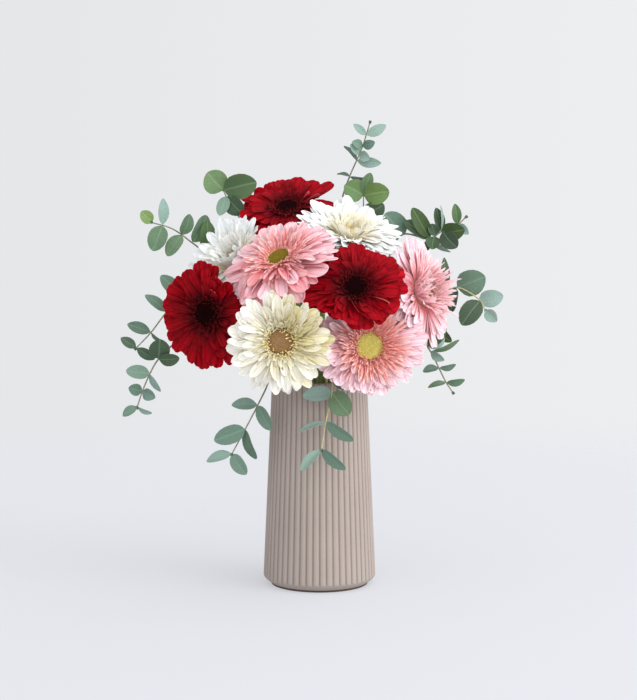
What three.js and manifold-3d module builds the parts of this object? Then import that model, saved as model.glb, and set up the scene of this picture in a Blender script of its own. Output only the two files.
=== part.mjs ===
// Twelve gerberas and thirteen eucalyptus sprays standing in water in a ribbed ceramic vase.
// Millimetres, +Z up. The origin is the centre of the vase's foot, on the table. -Y is the front.
// Each gerbera is three pieces: a green stem with its cup of bracts, the ray petals, and the disc.
// Each spray is one piece: a thin twig with leaves in opposite pairs.
import * as THREE from "three";
import { mergeVertices } from "three/addons/utils/BufferGeometryUtils.js";
import Module from "manifold-3d";

const wasm = await Module();
wasm.setup();

// ---- Driving dimensions ------------------------------------------------------------------

const GAP = 0.3; // free space left between two pieces that touch on the real thing

const VASE = {
  height: 205,
  footRadius: 50,
  hipRadius: 56.4, // the widest place, at the top of the rounded foot
  hipHeight: 8,
  rimRadius: 47.6,
  rimChamfer: 1.2,
  ribs: 52,
  ribDepth: 1.5,
  ribEnd: 3, // the ribs die out this far below the rim
  wall: 4.6,
  floor: 7,
  floorFillet: 5,
};
const WATER_DEPTH = 122;
const FOOT_LIFT = 2; // the cut ends stand this far above the vase's floor

const STEM = { radius: 2.8, tip: 2.5, sides: 6 };
const TWIG = { radius: 1.5, tip: 0.9, sides: 4 };
const BUNCH = { twist: 28, footSpread: 0.94 }; // the stems lean round the vase, all the same way

// A petal and a leaf are drawn thicker than life, so that the solids stay sound.
const PETAL_THICKNESS = 0.8;
const LEAF_THICKNESS = 0.9;
const BIG_LEAF = 13; // leaves this wide have a rounder outline

// ---- The gerberas, from the front of the bouquet to the back ----------------------------------
// centre: middle of the disc. facing: the way the bloom looks. radius: to the tips of the outer rays.
// cup: how far the rays rise from flat, in degrees. lift: added to the rays at the top and taken
// from those at the bottom, as they hang. mouth: azimuth and radius where the stem crosses the rim.

const BLOOMS = [
  { name: "cream_front", colour: "cream", centre: [-36, -98, 249], facing: [-0.08, -0.98, 0.08],
    radius: 53, disc: 13, cup: 16, lift: 32, mouth: [-108, 29] },
  { name: "pink_centre", colour: "pink", centre: [-38, -62, 326], facing: [-0.34, -0.52, 0.78],
    radius: 62, disc: 12, cup: -2, lift: 12, mouth: [-135, 14] },
  { name: "red_centre", colour: "red", centre: [33, -92, 299], facing: [0.1, -0.87, 0.48],
    radius: 50, disc: 11.5, cup: 6, lift: -6, mouth: [-70, 14] },
  { name: "pink_front", colour: "pink", centre: [47, -76, 243], facing: [0.14, -0.97, 0.16],
    radius: 54, disc: 13.5, cup: 8, lift: -5, mouth: [-52, 29] },
  { name: "red_left", colour: "red", centre: [-108, -50, 273], facing: [-0.5, -0.86, 0.02],
    radius: 54, disc: 12.5, cup: 2, lift: 2, mouth: [-150, 29] },
  { name: "pink_right", colour: "pink", centre: [99, -36, 293], facing: [0.79, -0.57, 0.24],
    radius: 56, disc: 12.5, cup: 10, lift: 2, mouth: [-10, 29] },
  { name: "white_top", colour: "white", centre: [30, -5, 348], facing: [0.12, -0.4, 0.9],
    radius: 56, disc: 12, cup: 24, lift: 5, mouth: [10, 13] },
  { name: "white_left", colour: "white", centre: [-82, -5, 325], facing: [-0.58, -0.53, 0.61],
    radius: 55, disc: 12, cup: 26, lift: 4, mouth: [176, 29] },
  { name: "red_top", colour: "red", centre: [-32, 28, 376], facing: [-0.12, -0.55, 0.83],
    radius: 49, disc: 11.5, cup: 10, lift: 6, mouth: [155, 14] },
  { name: "white_back", colour: "white", centre: [4, 88, 322], facing: [0, 0.85, 0.53],
    radius: 50, disc: 12, cup: 10, lift: 4, mouth: [85, 14] },
  { name: "pink_back", colour: "pink", centre: [-68, 76, 284], facing: [-0.62, 0.74, 0.26],
    radius: 51, disc: 12.5, cup: 8, lift: 4, mouth: [133, 29] },
  { name: "red_back", colour: "red", centre: [72, 64, 276], facing: [0.62, 0.75, 0.24],
    radius: 49, disc: 12, cup: 6, lift: 4, mouth: [42, 29] },
];

// Three whorls of rays on one bloom. root: height where the whorl leaves the core. reach: length as a
// share of the bloom's radius. rise: added to the bloom's cup. curl: bend from root to tip.
const WHORLS = [
  { root: -1.6, reach: 1, rise: 0, curl: -4, notch: 0.3, shoulder: 0.82, width: 16 },
  { root: 0.0, reach: 0.88, rise: 9, curl: -8, notch: 0.32, shoulder: 0.8, width: 13 },
  { root: 1.5, reach: 0.52, rise: 30, curl: -24, notch: 0.4 },
];
const RAYS = 14; // in each whorl, about half of the real number
const RAY_FULLNESS = 0.86; // no ray is wider than this share of its place in the ring
const CORE_BOTTOM = -2;
const CORE_TOP = 1.9;
const CORE_MARGIN = 1; // the core is this much wider than the disc on it
const DISC = { rise: 3.2, sides: 10, bump: 0.9 };
const CALYX_DEPTH = 17;

// ---- The eucalyptus sprays ------------------------------------------------------------------
// mouth: azimuth where the twig crosses the rim, on a ring of TWIG_RING. route: the twig's way from
// there. A leaf is [place on the route counted in its points, tip from the twig as x, y, z, width,
// roll away from facing the front].

const TWIG_RING = 38.3;
const SPRAYS = [
  { name: "top", mouth: 76,
    route: [[13, 50, 290], [18, 57, 350], [23, 58, 386], [31, 54, 410], [38, 49, 426], [44, 44, 440], [51, 38, 463]],
    leaves: [[3, -13, 5, 3, 9, 65], [3, 19, -4, -3, 10, 65], [4, -13, 6, 15, 10, 60], [4, 25, -6, -3, 11, 15],
      [4.5, -10, -8, 9, 11, 20], [4.5, 10, -8, -6, 11, 20], [5, -11, -7, 4, 10, 10], [5, 12, -7, 4, 10, 10],
      [5.5, -13, -3, 11, 8, 10], [5.5, 20, -3, 10, 11, 10]] },
  { name: "upper_left", mouth: 143,
    route: [[-44, 26, 270], [-64, 38, 328], [-81, 43, 366], [-92, 41, 383], [-98, 39, 395]],
    leaves: [[4, -16, -4, 18, 26, 5], [4, 32, -4, 10, 22, 10], [3, -6, -4, -18, 14, 15], [3.5, 17, -2, -18, 19, 15]] },
  { name: "left", mouth: 163,
    route: [[-60, 27, 262], [-98, 44, 316], [-130, 38, 342], [-149, 26, 356], [-168, 16, 362]],
    leaves: [[1.5, 0, -2, 34, 18, 15], [2, 14, 8, 28, 16, 25], [2.5, 9, -3, 18, 14, 30], [2.5, -13, -5, -19, 16, 15],
      [3.5, 1, -3, 27, 11, 15], [3.5, -9, -5, -26, 20, 10], [4, -11, -3, 11, 13, 10]] },
  { name: "side_left", mouth: -167,
    route: [[-64, 0, 245], [-105, 4, 282], [-137, 6, 287], [-152, -5, 273], [-167, -12, 253], [-181, -18, 238]],
    leaves: [[2, -22, 2, 22, 15, 10], [3, -21, -3, 17, 12, 30], [4, -23, -4, 8, 12, 30], [4, 13, 4, -9, 10, 65],
      [5, -15, -2, 10, 10, 15], [5, 18, 3, -11, 11, 20]] },
  { name: "low_left", mouth: -151,
    route: [[-62, -16, 226], [-102, -14, 244], [-142, -8, 242], [-159, -18, 227], [-167, -25, 213],
      [-174, -28, 196], [-179, -30, 181]],
    leaves: [[3, 2, -7, 20, 21, 10], [3, 21, -5, 1, 13, 20], [4, -23, -4, 3, 14, 15], [4, 10, 3, -18, 12, 55],
      [5, -13, -6, 4, 12, 10], [5, 13, -6, -6, 12, 10], [6, -14, -3, -9, 9, 10], [6, 14, 2, -7, 8, 60]] },
  { name: "front_left", mouth: -133,
    route: [[-29, -31, 222], [-44, -38, 217], [-53, -42, 198], [-60, -45, 184], [-72, -47, 161], [-85, -48, 137]],
    leaves: [[3, -25, -6, 1, 12, 25], [3, 13, -5, -24, 13, 20], [4, -30, -5, -11, 18, 5], [4, 10, 2, -30, 13, 50],
      [5, -25, -2, -7, 12, 35], [5, 14, -3, -20, 14, 5]] },
  { name: "front", mouth: -80,
    route: [[8, -42, 220], [11, -53, 218], [12, -61, 198], [6, -66, 170], [2, -69, 144]],
    leaves: [[1.5, 26, -2, -4, 17, 10], [2, -28, -9, -3, 15, 15], [2, 17, -7, -21, 22, 5], [3, -26, -2, -11, 12, 60],
      [3, 27, -4, -17, 13, 15], [4, -19, -3, -21, 12, 45], [4, 23, -3, -19, 13, 15]] },
  { name: "low_right", mouth: -28,
    route: [[58, -20, 226], [84, -18, 242], [101, -24, 244], [109, -29, 235], [117, -33, 219], [124, -34, 205],
      [130, -35, 196]],
    leaves: [[2.5, 18, 18, 8, 14, 10], [2.5, 19, 10, 20, 14, 15], [3, 27, -3, 13, 10, 60], [3, 13, -7, -8, 9, 20], [4, -16, -3, -3, 9, 45],
      [4, 16, -3, 5, 9, 40], [5, -18, -3, -4, 9, 55], [5, 18, -3, 3, 9, 30]] },
  { name: "right", mouth: 4,
    route: [[64, 14, 240], [104, 26, 268], [124, 24, 289], [138, 14, 297], [161, 6, 284], [166, 5, 275]],
    leaves: [[2, -2, 2, 34, 12, 30], [3, 28, -6, 11, 28, 10], [3, -4, 4, -25, 14, 45], [4, 20, -5, 3, 18, 10],
      [4, -19, -7, -24, 24, 10], [5, 11, -4, -12, 12, 10]] },
  { name: "upper_right", mouth: 25,
    route: [[50, 28, 255], [66, 38, 312], [84, 38, 350], [112, 29, 346], [123, 24, 353], [139, 21, 360], [147, 20, 367]],
    leaves: [[2, -8, -6, 30, 25, 10], [3, -16, -4, 31, 16, 20], [3, 21, -6, -9, 10, 55], [4, -14, -8, -13, 16, 10],
      [4, -6, -3, 23, 11, 20], [4.5, 21, -8, 2, 19, 10], [4.5, 13, -9, -16, 17, 10], [5.5, -4, -4, 20, 10, 10],
      [5.5, 9, -4, -11, 9, 15]] },
  { name: "upper_back", mouth: 52,
    route: [[34, 42, 270], [42, 50, 330], [45, 48, 368], [45, 44, 390]],
    leaves: [[2, 21, -5, 13, 20, 10], [3, -20, -8, 10, 23, 10], [3, 26, -6, 4, 23, 10], [3, 7, -4, 23, 13, 5]] },
  { name: "back_hanging", mouth: 112,
    route: [[-16, 40, 220], [-19, 54, 216], [-22, 64, 196], [-25, 71, 168], [-28, 77, 142]],
    leaves: [[2, -23, 8, -5, 15, 15], [2, 17, 8, -18, 20, 10], [3, -24, 6, -12, 13, 20], [3, 22, 6, -16, 14, 10],
      [4, -17, 5, -19, 12, 20], [4, 20, 5, -17, 12, 10]] },
  { name: "back", mouth: 94,
    route: [[-2, 62, 234], [3, 90, 246], [9, 112, 238], [15, 128, 220]],
    leaves: [[1, -24, 4, 9, 18, 30], [1, 22, 8, 10, 18, 30], [2, -20, 8, -12, 16, 20], [2, 22, 4, -12, 16, 20],
      [3, -15, 5, -14, 13, 20], [3, 14, 6, -17, 13, 20]] },
];

// ---- Materials ------------------------------------------------------------------------------

const finish = (color, roughness) =>
  new THREE.MeshStandardMaterial({ color, roughness, metalness: 0 });
const MATERIALS = {
  ceramic: finish(0xb0a49d, 0.75),
  water: finish(0xc9dbe0, 0.1),
  stem: finish(0x7d9a4a, 0.6),
  leaf: finish(0x6f8f7c, 0.65),
  red: finish(0x8f0a18, 0.6),
  pink: finish(0xf2b3b8, 0.6),
  white: finish(0xf3f2ec, 0.6),
  cream: finish(0xf0ebcf, 0.6),
  redDisc: finish(0x24090c, 0.8),
  pinkDisc: finish(0xb5ae4c, 0.8),
  whiteDisc: finish(0xc9c27a, 0.8),
  creamDisc: finish(0x9c7f4e, 0.8),
};

// ---- Small helpers --------------------------------------------------------------------------

const TURN = 2 * Math.PI;
const vector = (p) => new THREE.Vector3(...p);
const degrees = THREE.MathUtils.degToRad;
const polar = (azimuth, radius, z) =>
  new THREE.Vector3(radius * Math.cos(degrees(azimuth)), radius * Math.sin(degrees(azimuth)), z);

// Collects triangles and gives them back as a geometry.
class Skin {
  constructor() {
    this.corners = [];
  }
  triangle(a, b, c) {
    this.corners.push(a, b, c);
  }
  quad(a, b, c, d) {
    this.triangle(a, b, c);
    this.triangle(a, c, d);
  }
  // A face over an outline that runs anticlockwise, seen from outside.
  cap(outline) {
    for (let i = 1; i < outline.length - 1; i++) this.triangle(outline[0], outline[i], outline[i + 1]);
  }
  // A wall from one closed ring up to the next, both anticlockwise seen from above. Either may have
  // more points than the other.
  wall(lower, upper) {
    const [m, n] = [lower.length, upper.length];
    let [i, j] = [0, 0];
    while (i < m || j < n) {
      if (i === m || (j + 1) * m <= (i + 1) * n) {
        this.triangle(lower[i % m], upper[(j + 1) % n], upper[j]);
        j++;
      } else {
        this.triangle(lower[i], lower[(i + 1) % m], upper[j % n]);
        i++;
      }
    }
  }
  // A closed solid through a pile of rings.
  pile(rings) {
    this.cap([...rings[0]].reverse());
    rings.slice(1).forEach((upper, i) => this.wall(rings[i], upper));
    this.cap(rings.at(-1));
    return this;
  }
  geometry() {
    return new THREE.BufferGeometry().setFromPoints(this.corners);
  }
}

// A closed geometry as a solid for joining and cutting.
function solid(geometry) {
  const bare = new THREE.BufferGeometry();
  const loose = geometry.index ? geometry.toNonIndexed() : geometry;
  bare.setAttribute("position", loose.getAttribute("position"));
  const merged = mergeVertices(bare, 1e-4);
  return new wasm.Manifold(
    new wasm.Mesh({
      numProp: 3,
      vertProperties: new Float32Array(merged.attributes.position.array),
      triVerts: new Uint32Array(merged.index.array),
    }),
  );
}

function geometryOf(manifold) {
  const mesh = manifold.getMesh();
  const geometry = new THREE.BufferGeometry();
  geometry.setAttribute("position", new THREE.BufferAttribute(mesh.vertProperties, 3));
  geometry.setIndex(new THREE.BufferAttribute(mesh.triVerts, 1));
  return geometry;
}

function piece(name, geometry, material) {
  const mesh = new THREE.Mesh(geometry, material);
  mesh.name = name;
  return mesh;
}

// A level ring of points round the Z axis. radiusAt may vary with the point's number.
const ring = (count, radiusAt, z) =>
  Array.from({ length: count }, (_, i) => {
    const angle = (i / count) * TURN;
    return new THREE.Vector3(radiusAt(i) * Math.cos(angle), radiusAt(i) * Math.sin(angle), z);
  });

// A round bar along a line of points, with a radius at each of them.
function bar(points, radii, sides) {
  const last = points.length - 1;
  const tangents = points.map((_, i) =>
    points[Math.min(i + 1, last)].clone().sub(points[Math.max(i - 1, 0)]).normalize(),
  );
  const normal = new THREE.Vector3(1, 0, 0);
  const rings = points.map((p, k) => {
    normal.projectOnPlane(tangents[k]).normalize();
    const across = tangents[k].clone().cross(normal);
    return Array.from({ length: sides }, (_, i) => {
      const angle = (i / sides) * TURN;
      return p.clone().addScaledVector(normal, radii[k] * Math.cos(angle))
        .addScaledVector(across, radii[k] * Math.sin(angle));
    });
  });
  return new Skin().pile(rings).geometry();
}

// ---- The vase -------------------------------------------------------------------------------

const wallRadius = (z) =>
  THREE.MathUtils.mapLinear(z, VASE.hipHeight, VASE.height, VASE.hipRadius, VASE.rimRadius);
const cavityRadius = (z) => wallRadius(z) - VASE.wall;
const CAVITY_SIDES = 26;

// The hollow inside: straight walls, down to a floor with a small fillet. inset shrinks it all round.
function cavity(top, inset) {
  const floor = VASE.floor + inset;
  const profile = [
    new THREE.Vector2(0, floor),
    new THREE.Vector2(cavityRadius(VASE.hipHeight) - VASE.floorFillet - inset, floor),
    new THREE.Vector2(cavityRadius(floor + VASE.floorFillet) - inset, floor + VASE.floorFillet),
    new THREE.Vector2(cavityRadius(top) - inset, top),
    new THREE.Vector2(0, top),
  ];
  // A turned shape stands round Y, so it is tipped up to stand round Z.
  return solid(new THREE.LatheGeometry(profile, CAVITY_SIDES).rotateX(Math.PI / 2));
}

function vase() {
  const pointsPerRib = 3;
  const fine = VASE.ribs * pointsPerRib;
  const groove = (i) => (i % pointsPerRib === 0 ? VASE.ribDepth : 0);
  const ribTop = VASE.height - VASE.ribEnd;
  const outside = new Skin().pile([
    ring(VASE.ribs, () => VASE.footRadius, 0),
    ring(fine, (i) => VASE.hipRadius - groove(i), VASE.hipHeight),
    ring(fine, (i) => wallRadius(ribTop) - groove(i), ribTop),
    ring(VASE.ribs, () => wallRadius(VASE.height) - VASE.rimChamfer, VASE.height),
  ]);
  return geometryOf(solid(outside.geometry()).subtract(cavity(VASE.height + 1, 0)));
}

// ---- Stems and twigs: their ways through the vase -----------------------------------------------

// A cut end, the waterline and the rim lie on one straight line, so a stem is straight in the water.
// Every stem is turned the same way from rim to foot, as in a spiral bunch, so none crosses another.
function wayThroughVase([azimuth, radius]) {
  const foot = polar(azimuth + BUNCH.twist, radius * BUNCH.footSpread, VASE.floor + FOOT_LIFT);
  const mouth = polar(azimuth, radius, VASE.height);
  const waterline = foot.clone().lerp(mouth, (WATER_DEPTH + 5) / (mouth.z - foot.z));
  return [foot, waterline, mouth];
}
const IN_VASE = 3; // so many points of each way lie in the vase

const smoothCurve = (points) => new THREE.CatmullRomCurve3(points, false, "centripetal");

// The points of a curve, and the middles between them where the curve leaves the straight line.
function stations(curve) {
  const straight = 0.8;
  const last = curve.points.length - 1;
  const found = [];
  for (let i = IN_VASE - 1; i < last; i++) {
    const [a, b] = [curve.points[i], curve.points[i + 1]];
    const middle = curve.getPoint((i + 0.5) / last);
    const chord = new THREE.Line3(a, b).closestPointToPoint(middle, true, new THREE.Vector3());
    found.push(a);
    if (chord.distanceTo(middle) > straight) found.push(middle);
  }
  return [...curve.points.slice(0, IN_VASE - 1), ...found, curve.points[last]];
}

// The axes of a bloom: out of its face, upwards in its face, and to the right as one looks at it.
function axesOf(bloom) {
  const out = vector(bloom.facing).normalize();
  const up = new THREE.Vector3(0, 0, 1).projectOnPlane(out).normalize();
  return { out, up, right: up.clone().cross(out), centre: vector(bloom.centre) };
}

const inBloom = ({ centre, right, up, out }, x, y, z) =>
  centre.clone().addScaledVector(right, x).addScaledVector(up, y).addScaledVector(out, z);

for (const bloom of BLOOMS) {
  bloom.axes = axesOf(bloom);
  const neck = (depth) => inBloom(bloom.axes, 0, 0, -depth);
  bloom.curve = smoothCurve([...wayThroughVase(bloom.mouth), neck(CALYX_DEPTH + 14), neck(CALYX_DEPTH)]);
}
for (const spray of SPRAYS) {
  spray.curve = smoothCurve([...wayThroughVase([spray.mouth, TWIG_RING]), ...spray.route.map(vector)]);
}

// ---- How rays make room for their neighbours ------------------------------------------------------

const DIRECTIONS = 36;
const CLEARANCE = 3.4;

// Where a ray is at a share of its length: radius from the bloom's axis, height, and slope.
function alongRay(bloom, whorl, theta, share, room = roomAt(bloom, theta)) {
  const start = bloom.disc + CORE_MARGIN;
  const length = (bloom.radius * whorl.reach - start) * room.reach;
  const steps = 8;
  const at = { r: start, h: whorl.root, slope: 0 };
  for (let i = 0; i < steps; i++) {
    const v = ((i + 0.5) / steps) * share;
    const bend = room.bend * Math.min(1, v / 0.45);
    at.slope = degrees(bloom.cup + bloom.lift * Math.sin(theta) + whorl.rise + whorl.curl * v + bend);
    at.r += (Math.cos(at.slope) * length * share) / steps;
    at.h += (Math.sin(at.slope) * length * share) / steps;
  }
  return at;
}

// The bend and shortening found for the nearest of the tested directions.
function roomAt(bloom, theta) {
  if (!bloom.room) return { bend: 0, reach: 1 };
  const place = ((((theta / TURN) % 1) + 1) % 1) * DIRECTIONS;
  const low = Math.floor(place);
  const [a, b] = [bloom.room[low % DIRECTIONS], bloom.room[(low + 1) % DIRECTIONS]];
  const mix = (key) => THREE.MathUtils.lerp(a[key], b[key], place - low);
  return { bend: mix("bend"), reach: mix("reach") };
}

// Whether a point is within the body of a bloom that has its place already.
function insideBloom(bloom, point) {
  const from = point.clone().sub(bloom.axes.centre);
  const h = from.dot(bloom.axes.out);
  const [x, y] = [from.dot(bloom.axes.right), from.dot(bloom.axes.up)];
  const r = Math.hypot(x, y);
  if (r < bloom.disc + 4) return h > -CALYX_DEPTH - 4 && h < 26;
  const theta = Math.atan2(y, x);
  const lowest = alongRay(bloom, WHORLS[0], theta, 1);
  if (r > Math.max(lowest.r, 26) + 2.5) return false;
  const share = THREE.MathUtils.clamp((r - bloom.disc) / (lowest.r - bloom.disc), 0, 1);
  const floor = alongRay(bloom, WHORLS[0], theta, share).h;
  const crown = (bloom.radius - bloom.disc) * 0.3;
  const roof = Math.max(alongRay(bloom, WHORLS[1], theta, share).h, r < bloom.disc + crown ? 14 : -99);
  return h > floor - CLEARANCE && h < roof + CLEARANCE;
}

const stalks = [...BLOOMS, ...SPRAYS].map((plant) => ({
  plant,
  radius: plant.facing ? STEM.radius : TWIG.radius,
  points: plant.curve.getSpacedPoints(120).filter((p) => p.z > VASE.height - 10),
}));

function blocked(bloom, placed, point) {
  const fromAxis = Math.hypot(point.x, point.y);
  if (point.z < VASE.height + CLEARANCE && fromAxis < wallRadius(point.z) + CLEARANCE) return true;
  return (
    placed.some((other) => insideBloom(other, point)) ||
    stalks.some(({ plant, radius, points }) =>
      plant !== bloom && points.some((p) => p.distanceTo(point) < radius + CLEARANCE + 1.4))
  );
}

// The least bend or shortening that brings a ray clear of what is in front of it.
const TRIES = [];
for (const reach of [1, 0.93, 0.86, 0.79, 0.72, 0.65, 0.58, 0.51]) {
  for (let bend = -60; bend <= 36; bend += 6) TRIES.push({ bend, reach });
}
const effort = ({ bend, reach }) => Math.abs(bend) * (bend > 0 ? 1.3 : 1) + (1 - reach) * 110;
TRIES.sort((a, b) => effort(a) - effort(b));

// Places along a ray that are tested: whorl, share of the length, distance from the middle line.
const PROBES = [
  [0, 1, 0], [0, 0.85, 7], [0, 0.85, -7], [0, 0.6, 5], [0, 0.6, -5], [0, 0.4, 0],
  [1, 1, 0], [1, 0.8, 6], [1, 0.8, -6], [1, 0.5, 0], [2, 1, 0],
];

function findRoom(bloom, placed) {
  const found = Array.from({ length: DIRECTIONS }, (_, k) => {
    const theta = (k / DIRECTIONS) * TURN;
    const clear = (room) =>
      PROBES.every(([whorl, share, across]) => {
        const { r, h } = alongRay(bloom, WHORLS[whorl], theta, share, room);
        const x = r * Math.cos(theta) - across * Math.sin(theta);
        const y = r * Math.sin(theta) + across * Math.cos(theta);
        return !blocked(bloom, placed, inBloom(bloom.axes, x, y, h));
      });
    return TRIES.find(clear) ?? TRIES.at(-1);
  });
  // Neighbouring rays bend alike, so that none cuts through the next.
  bloom.room = found.map((own, k) => {
    const near = [found.at(k - 1), own, found[(k + 1) % DIRECTIONS]];
    const strongest = near.reduce((a, b) => (Math.abs(b.bend) > Math.abs(a.bend) ? b : a));
    return { bend: strongest.bend, reach: Math.min(...near.map((one) => one.reach)) };
  });
}

BLOOMS.forEach((bloom, i) => findRoom(bloom, BLOOMS.slice(0, i)));

// ---- One gerbera ------------------------------------------------------------------------------

// The points on the upper and the lower face of a ray, at a distance from its middle line.
function rayPoint(bloom, whorl, theta, share, across = 0) {
  const { r, h, slope } = alongRay(bloom, whorl, theta, share);
  const [cos, sin] = [Math.cos(theta), Math.sin(theta)];
  const half = PETAL_THICKNESS / 2;
  const place = (side) => {
    const out = r - side * Math.sin(slope) * half;
    return inBloom(bloom.axes, out * cos - across * sin, out * sin + across * cos, h + side * Math.cos(slope) * half);
  };
  return { upper: place(1), lower: place(-1) };
}

// The outline of one ray, from its notch on one side, round the tip, to the notch on the other.
function rayOutline(bloom, whorl, middle, notches) {
  const tip = rayPoint(bloom, whorl, middle, 1);
  if (!whorl.width) return [notches[0], tip, notches[1]];
  const room = (alongRay(bloom, whorl, middle, whorl.shoulder).r * TURN * RAY_FULLNESS) / RAYS;
  const half = Math.min(whorl.width, room) / 2;
  const shoulder = (side) => rayPoint(bloom, whorl, middle, whorl.shoulder, side * half);
  return [notches[0], shoulder(-1), tip, shoulder(1), notches[1]];
}

// All rays of a bloom as one closed skin: whorl over whorl, joined by the core that carries them.
function petals(bloom) {
  const skin = new Skin();
  const pitch = TURN / RAYS;
  let below = null;
  WHORLS.forEach((whorl, k) => {
    const offset = (k % 2) / 2;
    const edges = Array.from({ length: RAYS }, (_, i) => (i + offset) * pitch);
    const roots = edges.map((theta) => rayPoint(bloom, whorl, theta, 0));
    const notches = edges.map((theta) => rayPoint(bloom, whorl, theta, whorl.notch));
    const lower = roots.map((p) => p.lower);
    if (below) {
      // Each whorl is turned by half a ray, so its roots stand between those of the whorl below.
      const between = offset ? lower : [...lower.slice(1), lower[0]];
      below.forEach((p, i) => {
        const j = (i + 1) % RAYS;
        skin.triangle(p, below[j], between[i]);
        skin.triangle(below[j], between[j], between[i]);
      });
    } else {
      skin.cap([...lower].reverse());
    }
    edges.forEach((theta, i) => {
      const j = (i + 1) % RAYS;
      const outline = rayOutline(bloom, whorl, theta + pitch / 2, [notches[i], notches[j]]);
      const [upper, under] = [outline.map((p) => p.upper), outline.map((p) => p.lower)];
      skin.quad(roots[i].upper, notches[i].upper, notches[j].upper, roots[j].upper);
      skin.quad(roots[i].lower, roots[j].lower, notches[j].lower, notches[i].lower);
      if (whorl.width) {
        skin.quad(upper[0], upper[1], upper[3], upper[4]);
        skin.quad(under[0], under[4], under[3], under[1]);
        skin.triangle(upper[1], upper[2], upper[3]);
        skin.triangle(under[1], under[3], under[2]);
      } else {
        skin.cap(upper);
        skin.cap([...under].reverse());
      }
      upper.slice(1).forEach((p, e) => skin.quad(under[e], under[e + 1], p, upper[e]));
    });
    below = roots.map((p) => p.upper);
  });
  skin.cap(below);
  return skin.geometry();
}

// The disc: a low dome with its florets raised in rings.
function disc(bloom) {
  const low = CORE_TOP + GAP;
  const levels = [[1, 0], [0.97, 0.4], [0.72, 0.75], [0.4, 1]];
  const rings = levels.map(([share, height], k) =>
    ring(DISC.sides, () => bloom.disc * share, low + height * DISC.rise).map((p, i) => {
      const raised = k > 1 && (i + k) % 2 ? DISC.bump : 0;
      return inBloom(bloom.axes, p.x, p.y, p.z + raised);
    }),
  );
  return new Skin().pile(rings).geometry();
}

// The stem, widening at its top into the cup of green bracts that holds the bloom.
function gerberaStem(bloom) {
  const stalk = stations(bloom.curve);
  const top = bloom.disc - 0.5;
  const cup = [
    [CALYX_DEPTH - 2.5, 0.48],
    [CALYX_DEPTH * 0.5, 0.84],
    [GAP - CORE_BOTTOM, 1],
  ];
  const points = [...stalk, ...cup.map(([depth]) => inBloom(bloom.axes, 0, 0, -depth))];
  const radii = [...stalk.map(() => STEM.radius), ...cup.map(([, share]) => share * top)];
  radii[stalk.length - 1] = STEM.tip;
  return bar(points, radii, STEM.sides);
}

// ---- One spray ----------------------------------------------------------------------------------

// Half the leaf's width at shares of its length. The leaf starts and ends in a point.
const SMALL_EDGE = [[0.3, 0.86], [0.72, 0.8]];
const BIG_EDGE = [[0.2, 0.74], [0.52, 1], [0.83, 0.68]];
const LEAF_ARCH = 0.07;

function leaf(base, toTip, width, roll) {
  const along = toTip.clone().normalize();
  const facing = new THREE.Vector3(0, -1, 0).projectOnPlane(along).normalize();
  facing.applyAxisAngle(along, degrees(roll));
  const across = facing.clone().cross(along);
  const place = ([share, half], side) => {
    const arch = Math.sin(share * Math.PI) * LEAF_ARCH * toTip.length() + (side * LEAF_THICKNESS) / 2;
    return base.clone().addScaledVector(toTip, share).addScaledVector(across, (half * width) / 2)
      .addScaledVector(facing, arch);
  };
  const edge = width < BIG_LEAF ? SMALL_EDGE : BIG_EDGE;
  const left = edge.map(([share, half]) => [share, -half]);
  const outline = [[0, 0], ...left, [1, 0], ...[...edge].reverse()];
  const upper = outline.map((p) => place(p, 1));
  const lower = outline.map((p) => place(p, -1));
  const skin = new Skin();
  const n = outline.length;
  for (const [face, at] of [[upper, (i) => i], [lower, (i) => (n - i) % n]]) {
    skin.triangle(face[0], face[at(1)], face[at(n - 1)]);
    for (let i = 1; i < edge.length; i++) {
      skin.quad(face[at(i)], face[at(i + 1)], face[at(n - i - 1)], face[at(n - i)]);
    }
    skin.triangle(face[at(edge.length)], face[at(edge.length + 1)], face[at(edge.length + 2)]);
  }
  skin.wall(lower, upper);
  return skin.geometry();
}

// The point on a line of points that is nearest to a place.
function nearestOn(line, place) {
  const candidates = line.slice(1).map((end, i) =>
    new THREE.Line3(line[i], end).closestPointToPoint(place, true, new THREE.Vector3()),
  );
  return candidates.reduce((a, b) => (a.distanceTo(place) < b.distanceTo(place) ? a : b));
}

function eucalyptus({ curve, route, leaves }) {
  const line = stations(curve);
  const radii = line.map((_, i) =>
    THREE.MathUtils.mapLinear(Math.max(i, 1), 1, line.length - 1, TWIG.radius, TWIG.tip),
  );
  const last = IN_VASE + route.length - 1;
  const blades = leaves.map(([place, x, y, z, width, roll]) => {
    const base = nearestOn(line, curve.getPoint((IN_VASE + place) / last));
    return solid(leaf(base, vector([x, y, z]), width, roll));
  });
  return geometryOf(wasm.Manifold.union([solid(bar(line, radii, TWIG.sides)), ...blades]));
}

// ---- The water, with a plain hole for each stem -----------------------------------------------------

function water() {
  const holes = [...BLOOMS, ...SPRAYS].map((plant) => {
    const { radius, sides } = plant.facing ? STEM : TWIG;
    const [foot, waterline] = plant.curve.points;
    const along = waterline.clone().sub(foot).normalize();
    const ends = [foot.clone().addScaledVector(along, -GAP), waterline.clone().addScaledVector(along, 5)];
    const wide = radius + GAP / Math.cos(Math.PI / sides);
    return solid(bar(ends, [wide, wide], sides));
  });
  return geometryOf(cavity(VASE.floor + WATER_DEPTH, GAP).subtract(wasm.Manifold.union(holes)));
}

// ---- The whole object ---------------------------------------------------------------------------

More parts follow.
